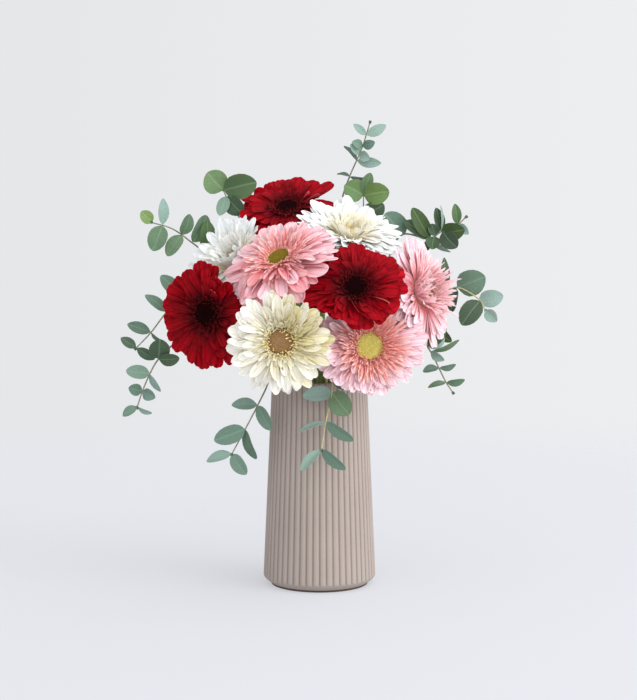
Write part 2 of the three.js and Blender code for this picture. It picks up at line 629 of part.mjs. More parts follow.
const bouquet = new THREE.Group();
bouquet.name = "gerberas_in_a_vase";
bouquet.add(piece("vase", vase(), MATERIALS.ceramic));
bouquet.add(piece("water", water(), MATERIALS.water));
for (const bloom of BLOOMS) {
  const gerbera = new THREE.Group();
  gerbera.name = `gerbera_${bloom.name}`;
  gerbera.add(piece(`${gerbera.name}_stem`, gerberaStem(bloom), MATERIALS.stem));
  gerbera.add(piece(`${gerbera.name}_petals`, petals(bloom), MATERIALS[bloom.colour]));
  gerbera.add(piece(`${gerbera.name}_disc`, disc(bloom), MATERIALS[`${bloom.colour}Disc`]));
  bouquet.add(gerbera);
}
for (const spray of SPRAYS) bouquet.add(piece(`eucalyptus_${spray.name}`, eucalyptus(spray), MATERIALS.leaf));

export default bouquet;
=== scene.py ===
# %% [markdown]
# # Gerberas and eucalyptus in a ribbed vase
# A bunch of cut flowers looks rich because a few small forms come back hundreds of times, never twice
# alike: a petal, a floret, a leaf. So this lesson models each of them once, and then lets a
# few lines of arithmetic bend, turn and tint the copies. First come the measured solids of the
# object, which say where every bloom and spray is, and the camera.

# %% Open the measured solids
import math

import bmesh
import bpy
import numpy as np
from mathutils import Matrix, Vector


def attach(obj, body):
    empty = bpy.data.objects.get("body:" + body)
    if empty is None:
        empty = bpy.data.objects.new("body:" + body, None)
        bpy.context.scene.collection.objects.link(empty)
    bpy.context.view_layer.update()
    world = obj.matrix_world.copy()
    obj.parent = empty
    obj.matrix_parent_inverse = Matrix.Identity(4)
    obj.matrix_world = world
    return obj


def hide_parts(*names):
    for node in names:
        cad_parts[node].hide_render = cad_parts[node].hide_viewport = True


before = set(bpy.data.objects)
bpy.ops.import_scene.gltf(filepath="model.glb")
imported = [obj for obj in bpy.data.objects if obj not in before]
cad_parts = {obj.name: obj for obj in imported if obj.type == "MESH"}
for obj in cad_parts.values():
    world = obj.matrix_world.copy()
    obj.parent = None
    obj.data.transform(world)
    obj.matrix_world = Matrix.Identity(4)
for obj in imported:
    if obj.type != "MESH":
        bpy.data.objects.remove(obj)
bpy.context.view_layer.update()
bpy.ops.object.select_all(action="DESELECT")
MM = 0.001

# %% [markdown]
# The picture was taken from one and a half metres away, a little above the middle of the bunch,
# with a lens of about 77 mm that looks down by less than four degrees. A long lens keeps the vase's
# sides almost straight.

# %% Set up the camera
CAMERA_PLACE = (-1 * MM, -1500 * MM, 332 * MM)
CAMERA_TILT = 3.71
bpy.ops.object.camera_add(location=CAMERA_PLACE, rotation=(math.radians(90 - CAMERA_TILT), 0, 0))
camera = bpy.context.object
camera.data.lens = 77.3
camera.data.sensor_width = 36
bpy.context.scene.camera = camera
print("lens", round(camera.data.lens, 1), "mm")

# %% [markdown]
# Colours are written as they are on a screen, in hex, and the shader wants them linear, so one
# function turns them. One more adds a node with its settings and its links, and makes every material.

# %% Colour and node helpers


def linear(colour):
    """A hex colour of the screen as linear red, green, blue and alpha."""
    shares = [int(colour[i : i + 2], 16) / 255 for i in (1, 3, 5)]
    return [s / 12.92 if s <= 0.04045 else ((s + 0.055) / 1.055) ** 2.4 for s in shares] + [1]


def set_sockets(tree, node, inputs):
    """Gives each named socket of a node its value, or links it to another node's output."""
    for name, value in inputs.items():
        socket = node.inputs[name]
        if isinstance(value, bpy.types.NodeSocket):
            tree.links.new(value, socket)
        else:
            socket.default_value = value


def add_node(tree, kind, inputs=None, stops=None, out=0, **settings):
    """Adds a node and gives back its output. stops holds a ramp's places and hex colours."""
    node = tree.nodes.new("ShaderNode" + kind)
    for name, value in settings.items():
        setattr(node, name, value)
    set_sockets(tree, node, inputs or {})
    if stops:
        ramp = node.color_ramp.elements
        while len(ramp) < len(stops):
            ramp.new(0.5)
        for stop, (place, colour) in zip(ramp, stops):
            stop.position, stop.color = place, linear(colour)
    return node.outputs[out]


def new_material(name):
    material = bpy.data.materials.new(name)
    material.use_nodes = True
    return material, material.node_tree, material.node_tree.nodes["Principled BSDF"]


BLEND = {"data_type": "RGBA", "out": 2}  # a Mix node for two colours, which go in at 6 and 7
TINT = {**BLEND, "blend_type": "MULTIPLY"}  # one that multiplies them
print("pure white is", linear("#FFFFFF"))

# %% [markdown]
# ## Drawing one part and using it many times
# Every small part starts as a primitive, is shaped in edit mode, and is read back as plain arrays of
# points and faces. A model is drawn with one Blender unit for a millimetre, so its numbers can be
# read off a ruler, and is brought to metres when it is placed.

# %% Modelling helpers


def choose(test):
    """In edit mode, selects the points whose place passes a test."""
    bpy.ops.mesh.select_all(action="DESELECT")
    mesh = bmesh.from_edit_mesh(bpy.context.object.data)
    for point in mesh.verts:
        point.select = bool(test(*point.co))
    mesh.select_flush_mode()
    bmesh.update_edit_mesh(bpy.context.object.data)


def draw_up(levels):
    """In edit mode, draws the chosen ring on through levels of radius and height, from the first."""
    for (before, low), (radius, high) in zip(levels, levels[1:]):
        bpy.ops.mesh.extrude_region_move(TRANSFORM_OT_translate={"value": (0, 0, high - low)})
        share = radius / before
        bpy.ops.transform.resize(value=(share, share, 1), center_override=(0, 0, high))


def close_up():
    """Turns every face outwards and leaves edit mode."""
    bpy.ops.mesh.select_all(action="SELECT")
    bpy.ops.mesh.normals_make_consistent(inside=False)
    bpy.ops.object.mode_set(mode="OBJECT")


def read_model(length=1.0, width=1.0):
    """Takes the active object apart into arrays, and removes it."""
    mesh = bpy.context.object.data
    points = np.array([v.co for v in mesh.vertices])
    corners = [list(face.vertices) for face in mesh.polygons]
    result = {
        "points": points,
        "corners": np.concatenate(corners),
        "sizes": np.array([len(c) for c in corners]),
        "along": np.clip(points[:, 1] / length, 0, 1),
        "across": points[:, 0] / (width / 2),
        "under": np.zeros(len(points)),
        "width": width,
    }
    bpy.ops.object.delete()
    return result


def draw_blade(length, width, rows, columns, thickness, notch=0.0, folds=0.0, hollow=0.0):
    """A flat blade along Y. rows holds its width at shares of its length, as shares of width. folds
    is how deep its two folds are, hollow how far its edges rise, notch how deep its tip is cut."""
    count = len(rows) - 1
    bpy.ops.mesh.primitive_grid_add(x_subdivisions=columns, y_subdivisions=count, size=1)
    blade = bpy.context.object
    bpy.ops.object.mode_set(mode="EDIT")
    bpy.ops.transform.translate(value=(0, 0.5, 0))
    bpy.ops.transform.resize(value=(width, 1, 1), center_override=(0, 0, 0))
    # Between the middle and the edges lie the folds, and the edges themselves rise or fall.
    if folds:
        choose(lambda x, y, z: 0.05 < y < 0.97 and 0.2 < abs(x) / (width / 2) < 0.72)
        bpy.ops.transform.translate(value=(0, 0, -folds))
    if hollow:
        choose(lambda x, y, z: abs(x) > width * 0.3)
        bpy.ops.transform.translate(value=(0, 0, hollow))
    for k, (_, share) in enumerate(rows):
        choose(lambda x, y, z: abs(y - k / count) < 0.3 / count)
        bpy.ops.transform.resize(value=(share, 1, 1), center_override=(0, k / count, 0))
    if notch:
        choose(lambda x, y, z: y > 1 - 0.3 / count and abs(x) < width * 0.02)
        bpy.ops.transform.translate(value=(0, -notch / length, 0))
    bpy.ops.object.mode_set(mode="OBJECT")
    # The rows are evenly spaced up to here; now each goes to its own place along the blade.
    for point in blade.data.vertices:
        share = point.co.y * count
        low = min(max(int(share), 0), count - 1)
        start, end = rows[low][0], rows[low + 1][0]
        point.co.y = (start + (end - start) * (share - low)) * length
    solid = blade.modifiers.new("thickness", "SOLIDIFY")
    solid.thickness = thickness
    solid.offset = 0
    bpy.ops.object.modifier_apply(modifier=solid.name)
    model = read_model(length, width)
    half = len(model["points"]) // 2  # Solidify writes one side of the blade and then the other
    first_is_low = model["points"][:half, 2].mean() < model["points"][half:, 2].mean()
    model["under"] = np.repeat([float(first_is_low), float(not first_is_low)], half)
    return model


# %% [markdown]
# ## The florets
# What one calls a petal is a whole small flower, a ray floret: a strap with two shallow folds and a
# blunt, faintly notched tip. The red kinds have broad, rounded ones, the cream and white kinds end in
# a soft point, and the pink kinds have slimmer rays and a thick fringe of narrow florets round the
# disc. Under the flower, pointed bracts lie on a green cup.

# %% Draw the florets and the bract
ROUNDED = [(0, 0.3), (0.14, 0.42), (0.32, 0.64), (0.52, 0.86), (0.72, 1), (0.87, 0.97), (0.96, 0.72),
           (1, 0.36)]
POINTED = [(0, 0.3), (0.14, 0.46), (0.31, 0.72), (0.5, 0.94), (0.69, 1), (0.84, 0.87), (0.94, 0.58),
           (1, 0.18)]
SLIM = [(0, 0.34), (0.15, 0.46), (0.35, 0.72), (0.55, 0.94), (0.73, 1), (0.87, 0.88), (0.96, 0.58),
        (1, 0.22)]
FRINGE = [(0, 0.6), (0.3, 0.8), (0.62, 1), (0.86, 0.9), (1, 0.5)]
BRACT_OUTLINE = [(0, 0.8), (0.3, 1), (0.6, 0.8), (0.85, 0.4), (1, 0.06)]
ROUNDED_RAY = draw_blade(40, 10, ROUNDED, 4, 0.4, notch=1.0, folds=0.7, hollow=0.3)
POINTED_RAY = draw_blade(40, 10, POINTED, 4, 0.4, notch=0.3, folds=0.8, hollow=0.5)
SLIM_RAY = draw_blade(40, 8, SLIM, 4, 0.4, notch=0.4, folds=0.7, hollow=0.4)
FRINGE_FLORET = draw_blade(14, 2, FRINGE, 2, 0.35, notch=2.4, hollow=0.25)
BRACT = draw_blade(12, 3.4, BRACT_OUTLINE, 2, 0.5, hollow=-0.4)
for name, model in {"ray": ROUNDED_RAY, "fringe floret": FRINGE_FLORET, "bract": BRACT}.items():
    print(name, len(model["points"]), "points", len(model["sizes"]), "faces")

# %% [markdown]
# The disc is packed with florets that have no strap: five-sided buds in the middle, which haven't
# opened, and open ones at the edge, each with a tube of stamens that stands up. Both are small
# columns, drawn up from a circle.

# %% Draw the bud and the stamen


def draw_spike(sides, levels):
    """A little column round Z through levels of radius and height, closed at both ends."""
    radius, low = levels[0]
    bpy.ops.mesh.primitive_circle_add(vertices=sides, radius=radius, fill_type="NGON", location=(0, 0, low))
    bpy.ops.object.transform_apply(location=True)
    bpy.ops.object.mode_set(mode="EDIT")
    draw_up(levels)
    close_up()
    model = read_model()
    model["along"] = np.clip(model["points"][:, 2] / levels[-1][1], 0, 1)
    model["across"] = model["under"]
    return model


BUD = draw_spike(5, [(0.5, -0.3), (0.52, 0.5), (0.36, 0.95), (0.1, 1.1)])
STAMEN = draw_spike(4, [(0.24, -0.4), (0.26, 0.55), (0.4, 0.8), (0.3, 1.0), (0.08, 1.06)])
print("bud", len(BUD["sizes"]), "faces; stamen", len(STAMEN["sizes"]), "faces")

# %% [markdown]
# ## The leaves
# Young eucalyptus leaves sit in opposite pairs. Each is a thin, stiff oval on a very short stalk,
# drawn down a little along its midrib. The older ones low on a shoot are almost round.

# %% Draw the two leaves
OVAL = [(0, 0.08), (0.04, 0.09), (0.09, 0.34), (0.18, 0.66), (0.31, 0.91), (0.45, 1), (0.6, 0.98),
        (0.74, 0.84), (0.87, 0.57), (0.95, 0.32), (1, 0.08)]
ROUND = [(0, 0.06), (0.03, 0.07), (0.07, 0.36), (0.15, 0.68), (0.28, 0.92), (0.43, 1), (0.59, 0.99),
         (0.74, 0.87), (0.87, 0.63), (0.95, 0.38), (1, 0.1)]
OVAL_LEAF = draw_blade(20, 10, OVAL, 6, 0.45, hollow=0.3)
ROUND_LEAF = draw_blade(24, 20, ROUND, 6, 0.45, hollow=0.4)
print("leaf", len(OVAL_LEAF["sizes"]), "faces")

# %% [markdown]
# A piece is then put together out of copies. The arrays keep, for every point, how far it is along
# and across its blade, whether it is on the underside, and a random tone for its copy, and the
# materials read these to tint each petal from base to tip.

# %% Putting copies together
VALUES = ("along", "across", "under", "tone", "whorl")


def copies(model, points, tone, whorl, slot=0):
    """Copies of a model, with their points as an array of copies, points and axes, in millimetres."""
    count, size = points.shape[:2]
    first = np.arange(count)[:, None] * size
    corners = (model["corners"][None] + first).ravel()
    group = {"points": points.reshape(-1, 3), "corners": corners, "slot": slot}
    for key in ("sizes", "along", "across", "under"):
        group[key] = np.tile(model[key], count)
    for key, value in (("tone", tone), ("whorl", whorl)):
        group[key] = np.broadcast_to(np.reshape(value, (-1, 1)), (count, size)).ravel()
    return group


def build(name, groups, materials, replaced):
    """One mesh out of groups of copies, standing for a measured solid."""
    mesh = bpy.data.meshes.new(name)
    first = np.cumsum([0] + [len(g["points"]) for g in groups])
    points = np.concatenate([g["points"] for g in groups]) * MM
    corners = np.concatenate([g["corners"] + start for g, start in zip(groups, first)])
    sizes = np.concatenate([g["sizes"] for g in groups])
    slots = np.concatenate([np.full(len(g["sizes"]), g["slot"]) for g in groups])
    mesh.vertices.add(len(points))
    mesh.loops.add(len(corners))
    mesh.polygons.add(len(sizes))
    mesh.vertices.foreach_set("co", points.ravel())
    mesh.loops.foreach_set("vertex_index", corners.astype(np.int32))
    mesh.polygons.foreach_set("loop_start", (np.cumsum(sizes) - sizes).astype(np.int32))
    mesh.polygons.foreach_set("material_index", slots.astype(np.int32))
    mesh.update(calc_edges=True)
    for key in VALUES:
        values = np.concatenate([g[key] for g in groups]).astype(np.float32)
        mesh.attributes.new(key, "FLOAT", "POINT").data.foreach_set("value", values)
    for material in materials:
        mesh.materials.append(material)
    piece = bpy.data.objects.new(name, mesh)
    bpy.context.scene.collection.objects.link(piece)
    bpy.ops.object.select_all(action="DESELECT")
    piece.select_set(True)
    bpy.context.view_layer.objects.active = piece
    bpy.ops.object.shade_smooth_by_angle(angle=math.radians(50))
    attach(piece, "root")
    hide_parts(replaced)
    return piece


print("every point carries", ", ".join(VALUES))

# %% [markdown]
# ## The ways of the stems
# Cut flowers stand in a spiral: each stem leans the same way round the vase, straight through the
# water, and bends only above the rim. A smooth curve through the same few points as the solids
# gives the line of every stem and twig.

# %% Curves through points
RIM_HEIGHT, FOOT_HEIGHT, WATER_DEPTH = 205, 9, 122
BUNCH_TWIST, FOOT_SPREAD = 28, 0.94
TWIG_RING = 38.3


def polar(azimuth, radius, height):
    angle = math.radians(azimuth)
    return np.array([radius * math.cos(angle), radius * math.sin(angle), height])


def way_through_vase(azimuth, radius):
    foot = polar(azimuth + BUNCH_TWIST, radius * FOOT_SPREAD, FOOT_HEIGHT)
    mouth = polar(azimuth, radius, RIM_HEIGHT)
    share = (WATER_DEPTH + 5) / (RIM_HEIGHT - FOOT_HEIGHT)
    return [foot, foot + (mouth - foot) * share, mouth]


def along_curve(points, places):
    """Points of a smooth curve through points. A place counts the points, so 1.5 is half way between
    the second and the third."""
    p = [np.array(q, float) for q in points]
    p = [2 * p[0] - p[1]] + p + [2 * p[-1] - p[-2]]
    result = []
    for place in places:
        k = min(int(place), len(points) - 2)
        t = place - k
        a, b, c, d = p[k : k + 4]
        ab, bc, cd = (math.sqrt(np.linalg.norm(v - u)) for u, v in ((a, b), (b, c), (c, d)))
        start = ((b - a) / ab - (c - a) / (ab + bc) + (c - b) / bc) * bc
        end = ((c - b) / bc - (d - b) / (bc + cd) + (d - c) / cd) * bc
        squared, cubed = 3 * (c - b) - 2 * start - end, 2 * (b - c) + start + end
        result.append(b + start * t + squared * t**2 + cubed * t**3)
    return np.array(result)


def draw_stalk(points, radii, sides=10):
    """A closed tube along points: a path drawn out to a round bar."""
    bpy.ops.curve.primitive_nurbs_path_add()
    curve = bpy.context.object.data
    curve.splines.clear()
    line = curve.splines.new("POLY")
    line.points.add(len(points) - 1)
    for spot, place, radius in zip(line.points, points, radii):
        spot.co = (*place, 1)
        spot.radius = radius
    curve.dimensions = "3D"
    curve.bevel_depth = 1
    curve.bevel_resolution = (sides - 4) // 2
    curve.use_fill_caps = True
    bpy.ops.object.convert(target="MESH")
    bpy.ops.object.mode_set(mode="EDIT")
    bpy.ops.mesh.select_all(action="SELECT")
    bpy.ops.mesh.remove_doubles(threshold=0.001)
    close_up()
    model = read_model()
    model["along"] = np.linspace(0, 1, len(model["points"]))
    model["across"] = model["under"]
    return model


print("a stem enters the water at", np.round(way_through_vase(-108, 29)[1]))

# %% [markdown]
# ## The blooms
# Each bloom has a place, a way it faces, a radius, a disc, how far it is cupped, how much further
# its upper rays lift, and where its stem crosses the rim. The list is in millimetres and degrees,
# and up to there it is the same as the one the solids were made from. The last four numbers say how
# unruly its petals are, how much steeper its fringe stands, how fine its petals are, and how light
# they are. A few blooms differ on one side. The lists for that hold an angle round the face, counted
# from the bloom's own right, and how much changes there.

# %% The list of blooms
BLOOMS = [
    # name, colour, centre, facing, radius, disc, cup, lift, mouth, unruly, crown, fine, tone
    ("cream_front", "cream", (-36, -98, 249), (-0.08, -0.98, 0.08), 53, 13, 16, 32, (-108, 29), 1.1, 0,
     1.12, 0.4),
    ("pink_centre", "pink", (-38, -62, 326), (-0.34, -0.52, 0.78), 62, 12, -2, 12, (-135, 14), 1.2, -4,
     0.86, -0.3),
    ("red_centre", "red", (33, -92, 299), (0.1, -0.87, 0.48), 50, 11.5, 6, -6, (-70, 14), 1.2, 0, 1, 0.3),
    ("pink_front", "pink", (47, -76, 243), (0.14, -0.97, 0.16), 54, 13.5, 8, -5, (-52, 29), 0.9, 0, 1.3, 0.4),
    ("red_left", "red", (-108, -50, 273), (-0.5, -0.86, 0.02), 54, 12.5, 2, 2, (-150, 29), 1, 0, 1, 0),
    ("pink_right", "pink", (99, -36, 293), (0.79, -0.57, 0.24), 56, 12.5, 10, 2, (-10, 29), 0.7, 36, 1.1, 1),
    ("white_top", "white", (30, -5, 348), (0.12, -0.4, 0.9), 56, 12, 24, 5, (10, 13), 1, 8, 0.9, 0),
    ("white_left", "white", (-82, -5, 325), (-0.58, -0.53, 0.61), 55, 12, 26, 4, (176, 29), 1.1, 32, 1, 0),
    ("red_top", "red", (-32, 28, 376), (-0.12, -0.55, 0.83), 49, 11.5, 10, 6, (155, 14), 0.35, 6, 0.9, 0.8),
    ("white_back", "white", (4, 88, 322), (0, 0.85, 0.53), 50, 12, 10, 4, (85, 14), 1, 0, 1, 0),
    ("pink_back", "pink", (-68, 76, 284), (-0.62, 0.74, 0.26), 51, 12.5, 8, 4, (133, 29), 1, 0, 1.1, 0),
    ("red_back", "red", (72, 64, 276), (0.62, 0.75, 0.24), 49, 12, 6, 4, (42, 29), 1, 0, 0.95, 0),
]
KEYS = ("name", "colour", "centre", "facing", "radius", "disc", "cup", "lift", "mouth", "unruly",
        "crown", "fine", "tone")
BLOOMS = [dict(zip(KEYS, bloom)) for bloom in BLOOMS]
RUFFLED = {  # how much wilder the rays are
    "pink_front": [(200, 1.3)], "cream_front": [(220, 0.5)], "pink_centre": [(-70, 0.8)],
    "red_centre": [(-85, 1)],
}
SHORTER = {  # the share of its length that a ray loses, or gains where it is negative
    "pink_front": [(-75, 0.16), (50, -0.12)], "red_centre": [(-80, 0.22)],
    "pink_centre": [(-110, 0.06), (105, 0.18)], "cream_front": [(-85, 0.07), (0, 0.1)],
    "pink_right": [(0, 0.36)], "white_left": [(40, 0.3)], "red_top": [(95, -0.1)],
    "red_left": [(85, 0.1)],
}
HANGING = {  # the degrees by which the rays fall back, or stand up where it is negative
    "white_top": [(-20, 26)], "pink_front": [(140, -14)], "pink_right": [(205, 24)],
}
# Painted shade: the tone, and so the colour, of rays and fringe falls on one side of these blooms; a negative
# number paints light there.
PAINTED_SHADE_BY_SIDE = {  # how much the tone drops
    "cream_front": [(45, 2.6), (-5, 2.2)], "pink_centre": [(-90, 1.5)], "pink_front": [(200, -2)],
}
# The fringe's colour where it is nearer to that of the rays, and discs darkened with painted shade.
PALE_INSIDE = {"pink_right": 0.5, "white_left": 0.45, "pink_centre": 0.7}
DISC_PAINTED_SHADE = {"pink_centre": 0.85, "pink_right": 0.8}
for bloom in BLOOMS:
    out = np.array(bloom["facing"], float)
    out /= np.linalg.norm(out)
    up = np.array([0, 0, 1]) - out * out[2]
    up /= np.linalg.norm(up)
    bloom["axes"] = np.array([np.cross(up, out), up, out])  # right, up, out of the face
print(len(BLOOMS), "blooms")

# %% [markdown]
# In a tight bunch the rays of one flower fold back where the next flower presses on them. The solids
# hold that: their rays bend and shorten where there is no room. Here the tips of each solid's rays
# are read, and for each tip the bend is found that leads a ray there. Between the tips, the bend is
# taken smoothly round the flower, so hundreds of finer rays can follow it.

# %% Learn how each bloom makes room
SOLID_RAYS = 14
SOLID_WHORLS = [(0, -1.6, 1, 0, -4), (0.5, 0, 0.88, 9, -8)]  # turn, root height, reach, rise, curl
ROOT_GAP = 1  # from the disc's edge to the roots of the rays
STEPS = 24
BENT_BY = 0.45  # the share of its length by which a ray has all of its bend
SAME_WAY = 0.04  # radians within which the points of one solid ray's tip lie


def ray_lines(bloom, theta, length, root, start, slope, bend):
    """Radius, height and slope at even steps along rays. slope gives the unbent slope in degrees for
    a share of the length."""
    share = (np.arange(STEPS) + 0.5)[None, :] / STEPS
    lean = bloom["cup"] + bloom["lift"] * np.sin(theta)[:, None]
    angle = np.radians(lean + slope(share) + bend[:, None] * np.minimum(1, share / BENT_BY))
    step = np.reshape(length, (-1, 1)) / STEPS
    zero = np.zeros((len(theta), 1))
    r = start + np.hstack([zero, np.cumsum(np.cos(angle) * step, 1)])
    h = root + np.hstack([zero, np.cumsum(np.sin(angle) * step, 1)])
    edge = np.hstack([angle[:, :1], (angle[:, 1:] + angle[:, :-1]) / 2, angle[:, -1:]])
    return r, h, edge


def learn_room(bloom):
    """For each ray of the solid bloom: its angle, how far it is bent, and its share of the full length."""
    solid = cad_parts[f"gerbera_{bloom['name']}_petals"].data
    places = np.empty(len(solid.vertices) * 3)
    solid.vertices.foreach_get("co", places)
    x, y, h = ((places.reshape(-1, 3) / MM - bloom["centre"]) @ bloom["axes"].T).T
    r, around = np.hypot(x, y), np.arctan2(y, x)
    bends = np.arange(-80, 60, 0.5)
    start = bloom["disc"] + ROOT_GAP
    found = []
    for turn, root, reach, rise, curl in SOLID_WHORLS:
        for k in range(SOLID_RAYS):
            theta = (k + 0.5 + turn) * math.tau / SOLID_RAYS
            near = np.abs(np.angle(np.exp(1j * (around - theta)))) < SAME_WAY
            tip = np.argsort(np.where(near, r, 0))[-2:]
            to_r, to_h = r[tip].mean() - start, h[tip].mean() - root
            angles = np.full(len(bends), theta)
            rr, hh, _ = ray_lines(bloom, angles, 1, 0, 0, lambda s: rise + curl * s, bends)
            bend = np.interp(math.atan2(to_h, to_r), np.arctan2(hh[:, -1], rr[:, -1]), bends)
            unit = np.interp(bend, bends, np.hypot(hh[:, -1], rr[:, -1]))
            full = bloom["radius"] * reach - start
            found.append((theta % math.tau, bend, math.hypot(to_r, to_h) / unit / full))
    return np.array(sorted(found)).T


def room_at(bloom, theta):
    """Bend and shortening of rays at any angle round the bloom."""
    angle, bend, reach = bloom["room"]
    return (np.interp(theta % math.tau, angle, values, period=math.tau) for values in (bend, reach))


for bloom in BLOOMS:
    bloom["room"] = learn_room(bloom)
    bends = bloom["room"][1]
    print(bloom["name"], "bends", round(bends.min()), "to", round(bends.max()), "degrees")

# %% [markdown]
# Now a blade can be laid along such a line: its own length runs along the line, its width across it.
# A little yaw, sideways sweep, twist and hollow make each copy its own.

# %% Bend blades into rays


def lay(model, theta, lines, width, yaw=0, sweep=0, twist=0, hollow=0):
    """Copies of a blade laid along lines that leave a middle at angles theta, as x, y and height."""
    r, h, slope = lines
    place = model["along"] * STEPS
    low = np.minimum(place.astype(int), STEPS - 1)
    mix = place - low
    r, h, slope = (line[:, low] * (1 - mix) + line[:, low + 1] * mix for line in (r, h, slope))
    columns = (np.reshape(value, (-1, 1)) for value in (yaw, sweep, twist, hollow, width))
    yaw, sweep, twist, hollow, width = columns
    step = np.hypot(r - r[:, :1], h - h[:, :1])
    own = model["points"][:, 0][None] * width / model["width"]
    turn = twist * model["along"]
    side = own * np.cos(turn) + np.tan(yaw) * step + sweep * model["along"] ** 2
    out = model["points"][:, 2][None] + own * np.sin(turn)
    out = out + hollow * model["across"][None] ** 2 * np.sin(model["along"] * math.pi)
    r = r - out * np.sin(slope)
    h = h + out * np.cos(slope)
    cos, sin = np.cos(theta)[:, None], np.sin(theta)[:, None]
    return np.stack([r * cos + side * sin, r * sin - side * cos, h], 2)


def in_bunch(bloom, points):
    """From a bloom's own axes into the bunch."""
    return points @ bloom["axes"] + np.array(bloom["centre"], float)


print("a ray is laid along", STEPS, "steps")

# %% [markdown]
# ## The kinds of gerbera
# Breeders sell gerberas by how full they are. The numbers below say, from the outside in, how many
# rays a ring has, how high their roots are, how long they are as a share of the radius, how wide,
# how far they rise, how much they curl and how wild they are. The fringe then says how many narrow
# florets, how far their roots are from the disc's edge, how long and wide they are in millimetres,
# how far they rise and how much they curl. The pink kinds are the fullest, with a deep fringe that
# stands up round the disc.

# %% The rings of each kind
KINDS = {
    "cream": {
        "ray": POINTED_RAY,
        # count, root, reach, width, rise, curl, wildness
        "rings": [(23, -1.6, 1.0, 12, 0, -4, 1), (22, -0.9, 0.95, 11, 4, -8, 1.2),
                  (22, -0.2, 0.84, 10, 8, -14, 1.3), (28, 0.5, 0.7, 7.5, 14, -20, 1.4),
                  (38, 1.0, 0.53, 4.4, 22, -30, 1.5)],
        # count, gap, length, width, rise, curl
        "fringe": [(40, 0.8, 14, 2.8, 28, -36), (46, 0.4, 11, 2.2, 40, -44), (50, 0, 8, 1.8, 56, -50),
                   (50, -0.6, 5, 1.4, 76, -40)],
    },
    "white": {
        "ray": POINTED_RAY,
        "rings": [(22, -1.6, 1.0, 12, 0, -4, 0.7), (22, -0.9, 0.95, 11.5, 6, -8, 0.8),
                  (21, -0.2, 0.84, 10.5, 12, -14, 1), (20, 0.5, 0.68, 9, 20, -20, 1.1)],
        "fringe": [(24, 0.8, 20, 6, 34, -22), (28, 0.4, 16, 4.4, 50, -26), (30, 0, 12, 3.2, 66, -30)],
    },
    "red": {
        "ray": ROUNDED_RAY,
        "rings": [(23, -1.6, 1.0, 13, 0, -5, 0.6), (23, -0.9, 0.96, 12.5, 5, -9, 0.7),
                  (22, -0.2, 0.86, 12, 12, -16, 0.9), (20, 0.4, 0.72, 11, 20, -26, 1.1),
                  (18, 0.9, 0.57, 9, 28, -34, 1.1)],
        "fringe": [(34, 0.4, 10, 2.4, 38, -24), (38, 0, 7, 1.7, 54, -28), (40, -0.6, 4.5, 1.3, 66, -30)],
    },
    "pink": {
        "ray": SLIM_RAY,
        "rings": [(24, -1.6, 1.0, 12, 0, -4, 0.8), (24, -0.9, 0.96, 11.5, 5, -8, 0.9),
                  (25, -0.2, 0.88, 10, 9, -12, 1.1), (28, 0.5, 0.77, 7, 14, -14, 1.2)],
        "fringe": [(44, 1.2, 26, 2.6, 20, -10), (50, 1, 23, 2.1, 27, -12), (54, 0.8, 20, 1.8, 35, -14),
                   (56, 0.5, 16.5, 1.6, 45, -16), (56, 0.2, 13, 1.4, 56, -16), (54, -0.2, 9.5, 1.3, 68, -14),
                   (52, -0.9, 5.5, 1.2, 80, -20)],
    },
}
RING_STEP = 0.14  # what each ring adds to the whorl value, and so to the share of the fringe's colour
TURNED_OVER = 1.1  # radians of twist in a ray that shows its underside
FRINGE_ROOT = 1.2  # how high the roots of the fringe are


def on_side(sides, bloom, theta):
    """How much of a one-sided change a ray at theta gets: all of it at the side's own angle."""
    parts = [
        amount * np.maximum(0, np.cos(theta - math.radians(angle)))
        for angle, amount in sides.get(bloom["name"], [])
    ]
    return sum(parts, np.zeros(len(theta)))


def ray_rings(bloom, kind, chance):
    """The rings of long rays. The further in, the more of them have turned over."""
    groups = []
    start = bloom["disc"] + ROOT_GAP
    for k, (count, root, reach, width, rise, curl, wild) in enumerate(kind["rings"]):
        count, width = round(count * bloom["fine"]), width / bloom["fine"]
        theta = (np.arange(count) + 0.5 * (k % 2) + chance.normal(0, 0.16, count)) * math.tau / count
        ruffle = on_side(RUFFLED, bloom, theta)
        wild = wild * bloom["unruly"] * (1 + ruffle)
        width = width * (1 + 0.25 * ruffle)
        bend, room = room_at(bloom, theta)
        bend = bend - on_side(HANGING, bloom, theta)
        room = room * (1 - on_side(SHORTER, bloom, theta))
        long = (bloom["radius"] * reach - start) * room * chance.normal(1, 0.045, count)
        lift = chance.normal(0, 3, count) * wild
        tip = chance.normal(-5, 13, count) * wild
        slope = lambda s: rise + curl * s + lift[:, None] + tip[:, None] * np.maximum(0, s - 0.5) * 2
        lines = ray_lines(bloom, theta, long, root, start, slope, bend)
        wide = width * chance.normal(1, 0.13, count)
        yaw = chance.normal(0, 0.05, count) * wild
        sweep = chance.normal(0, 1.3, count) * wild
        twist = chance.normal(0.08, 0.2, count) * wild + TURNED_OVER * (chance.random(count) < 0.04 * k)
        hollow = chance.normal(0.8, 0.9, count) * wild
        points = lay(kind["ray"], theta, lines, wide, yaw, sweep, twist, hollow)
        # A random tone, less the painted shade on one side.
        tone = chance.normal(bloom["tone"], 1, count) - on_side(PAINTED_SHADE_BY_SIDE, bloom, theta)
        groups.append(copies(kind["ray"], in_bunch(bloom, points), tone, RING_STEP * k))
    return groups


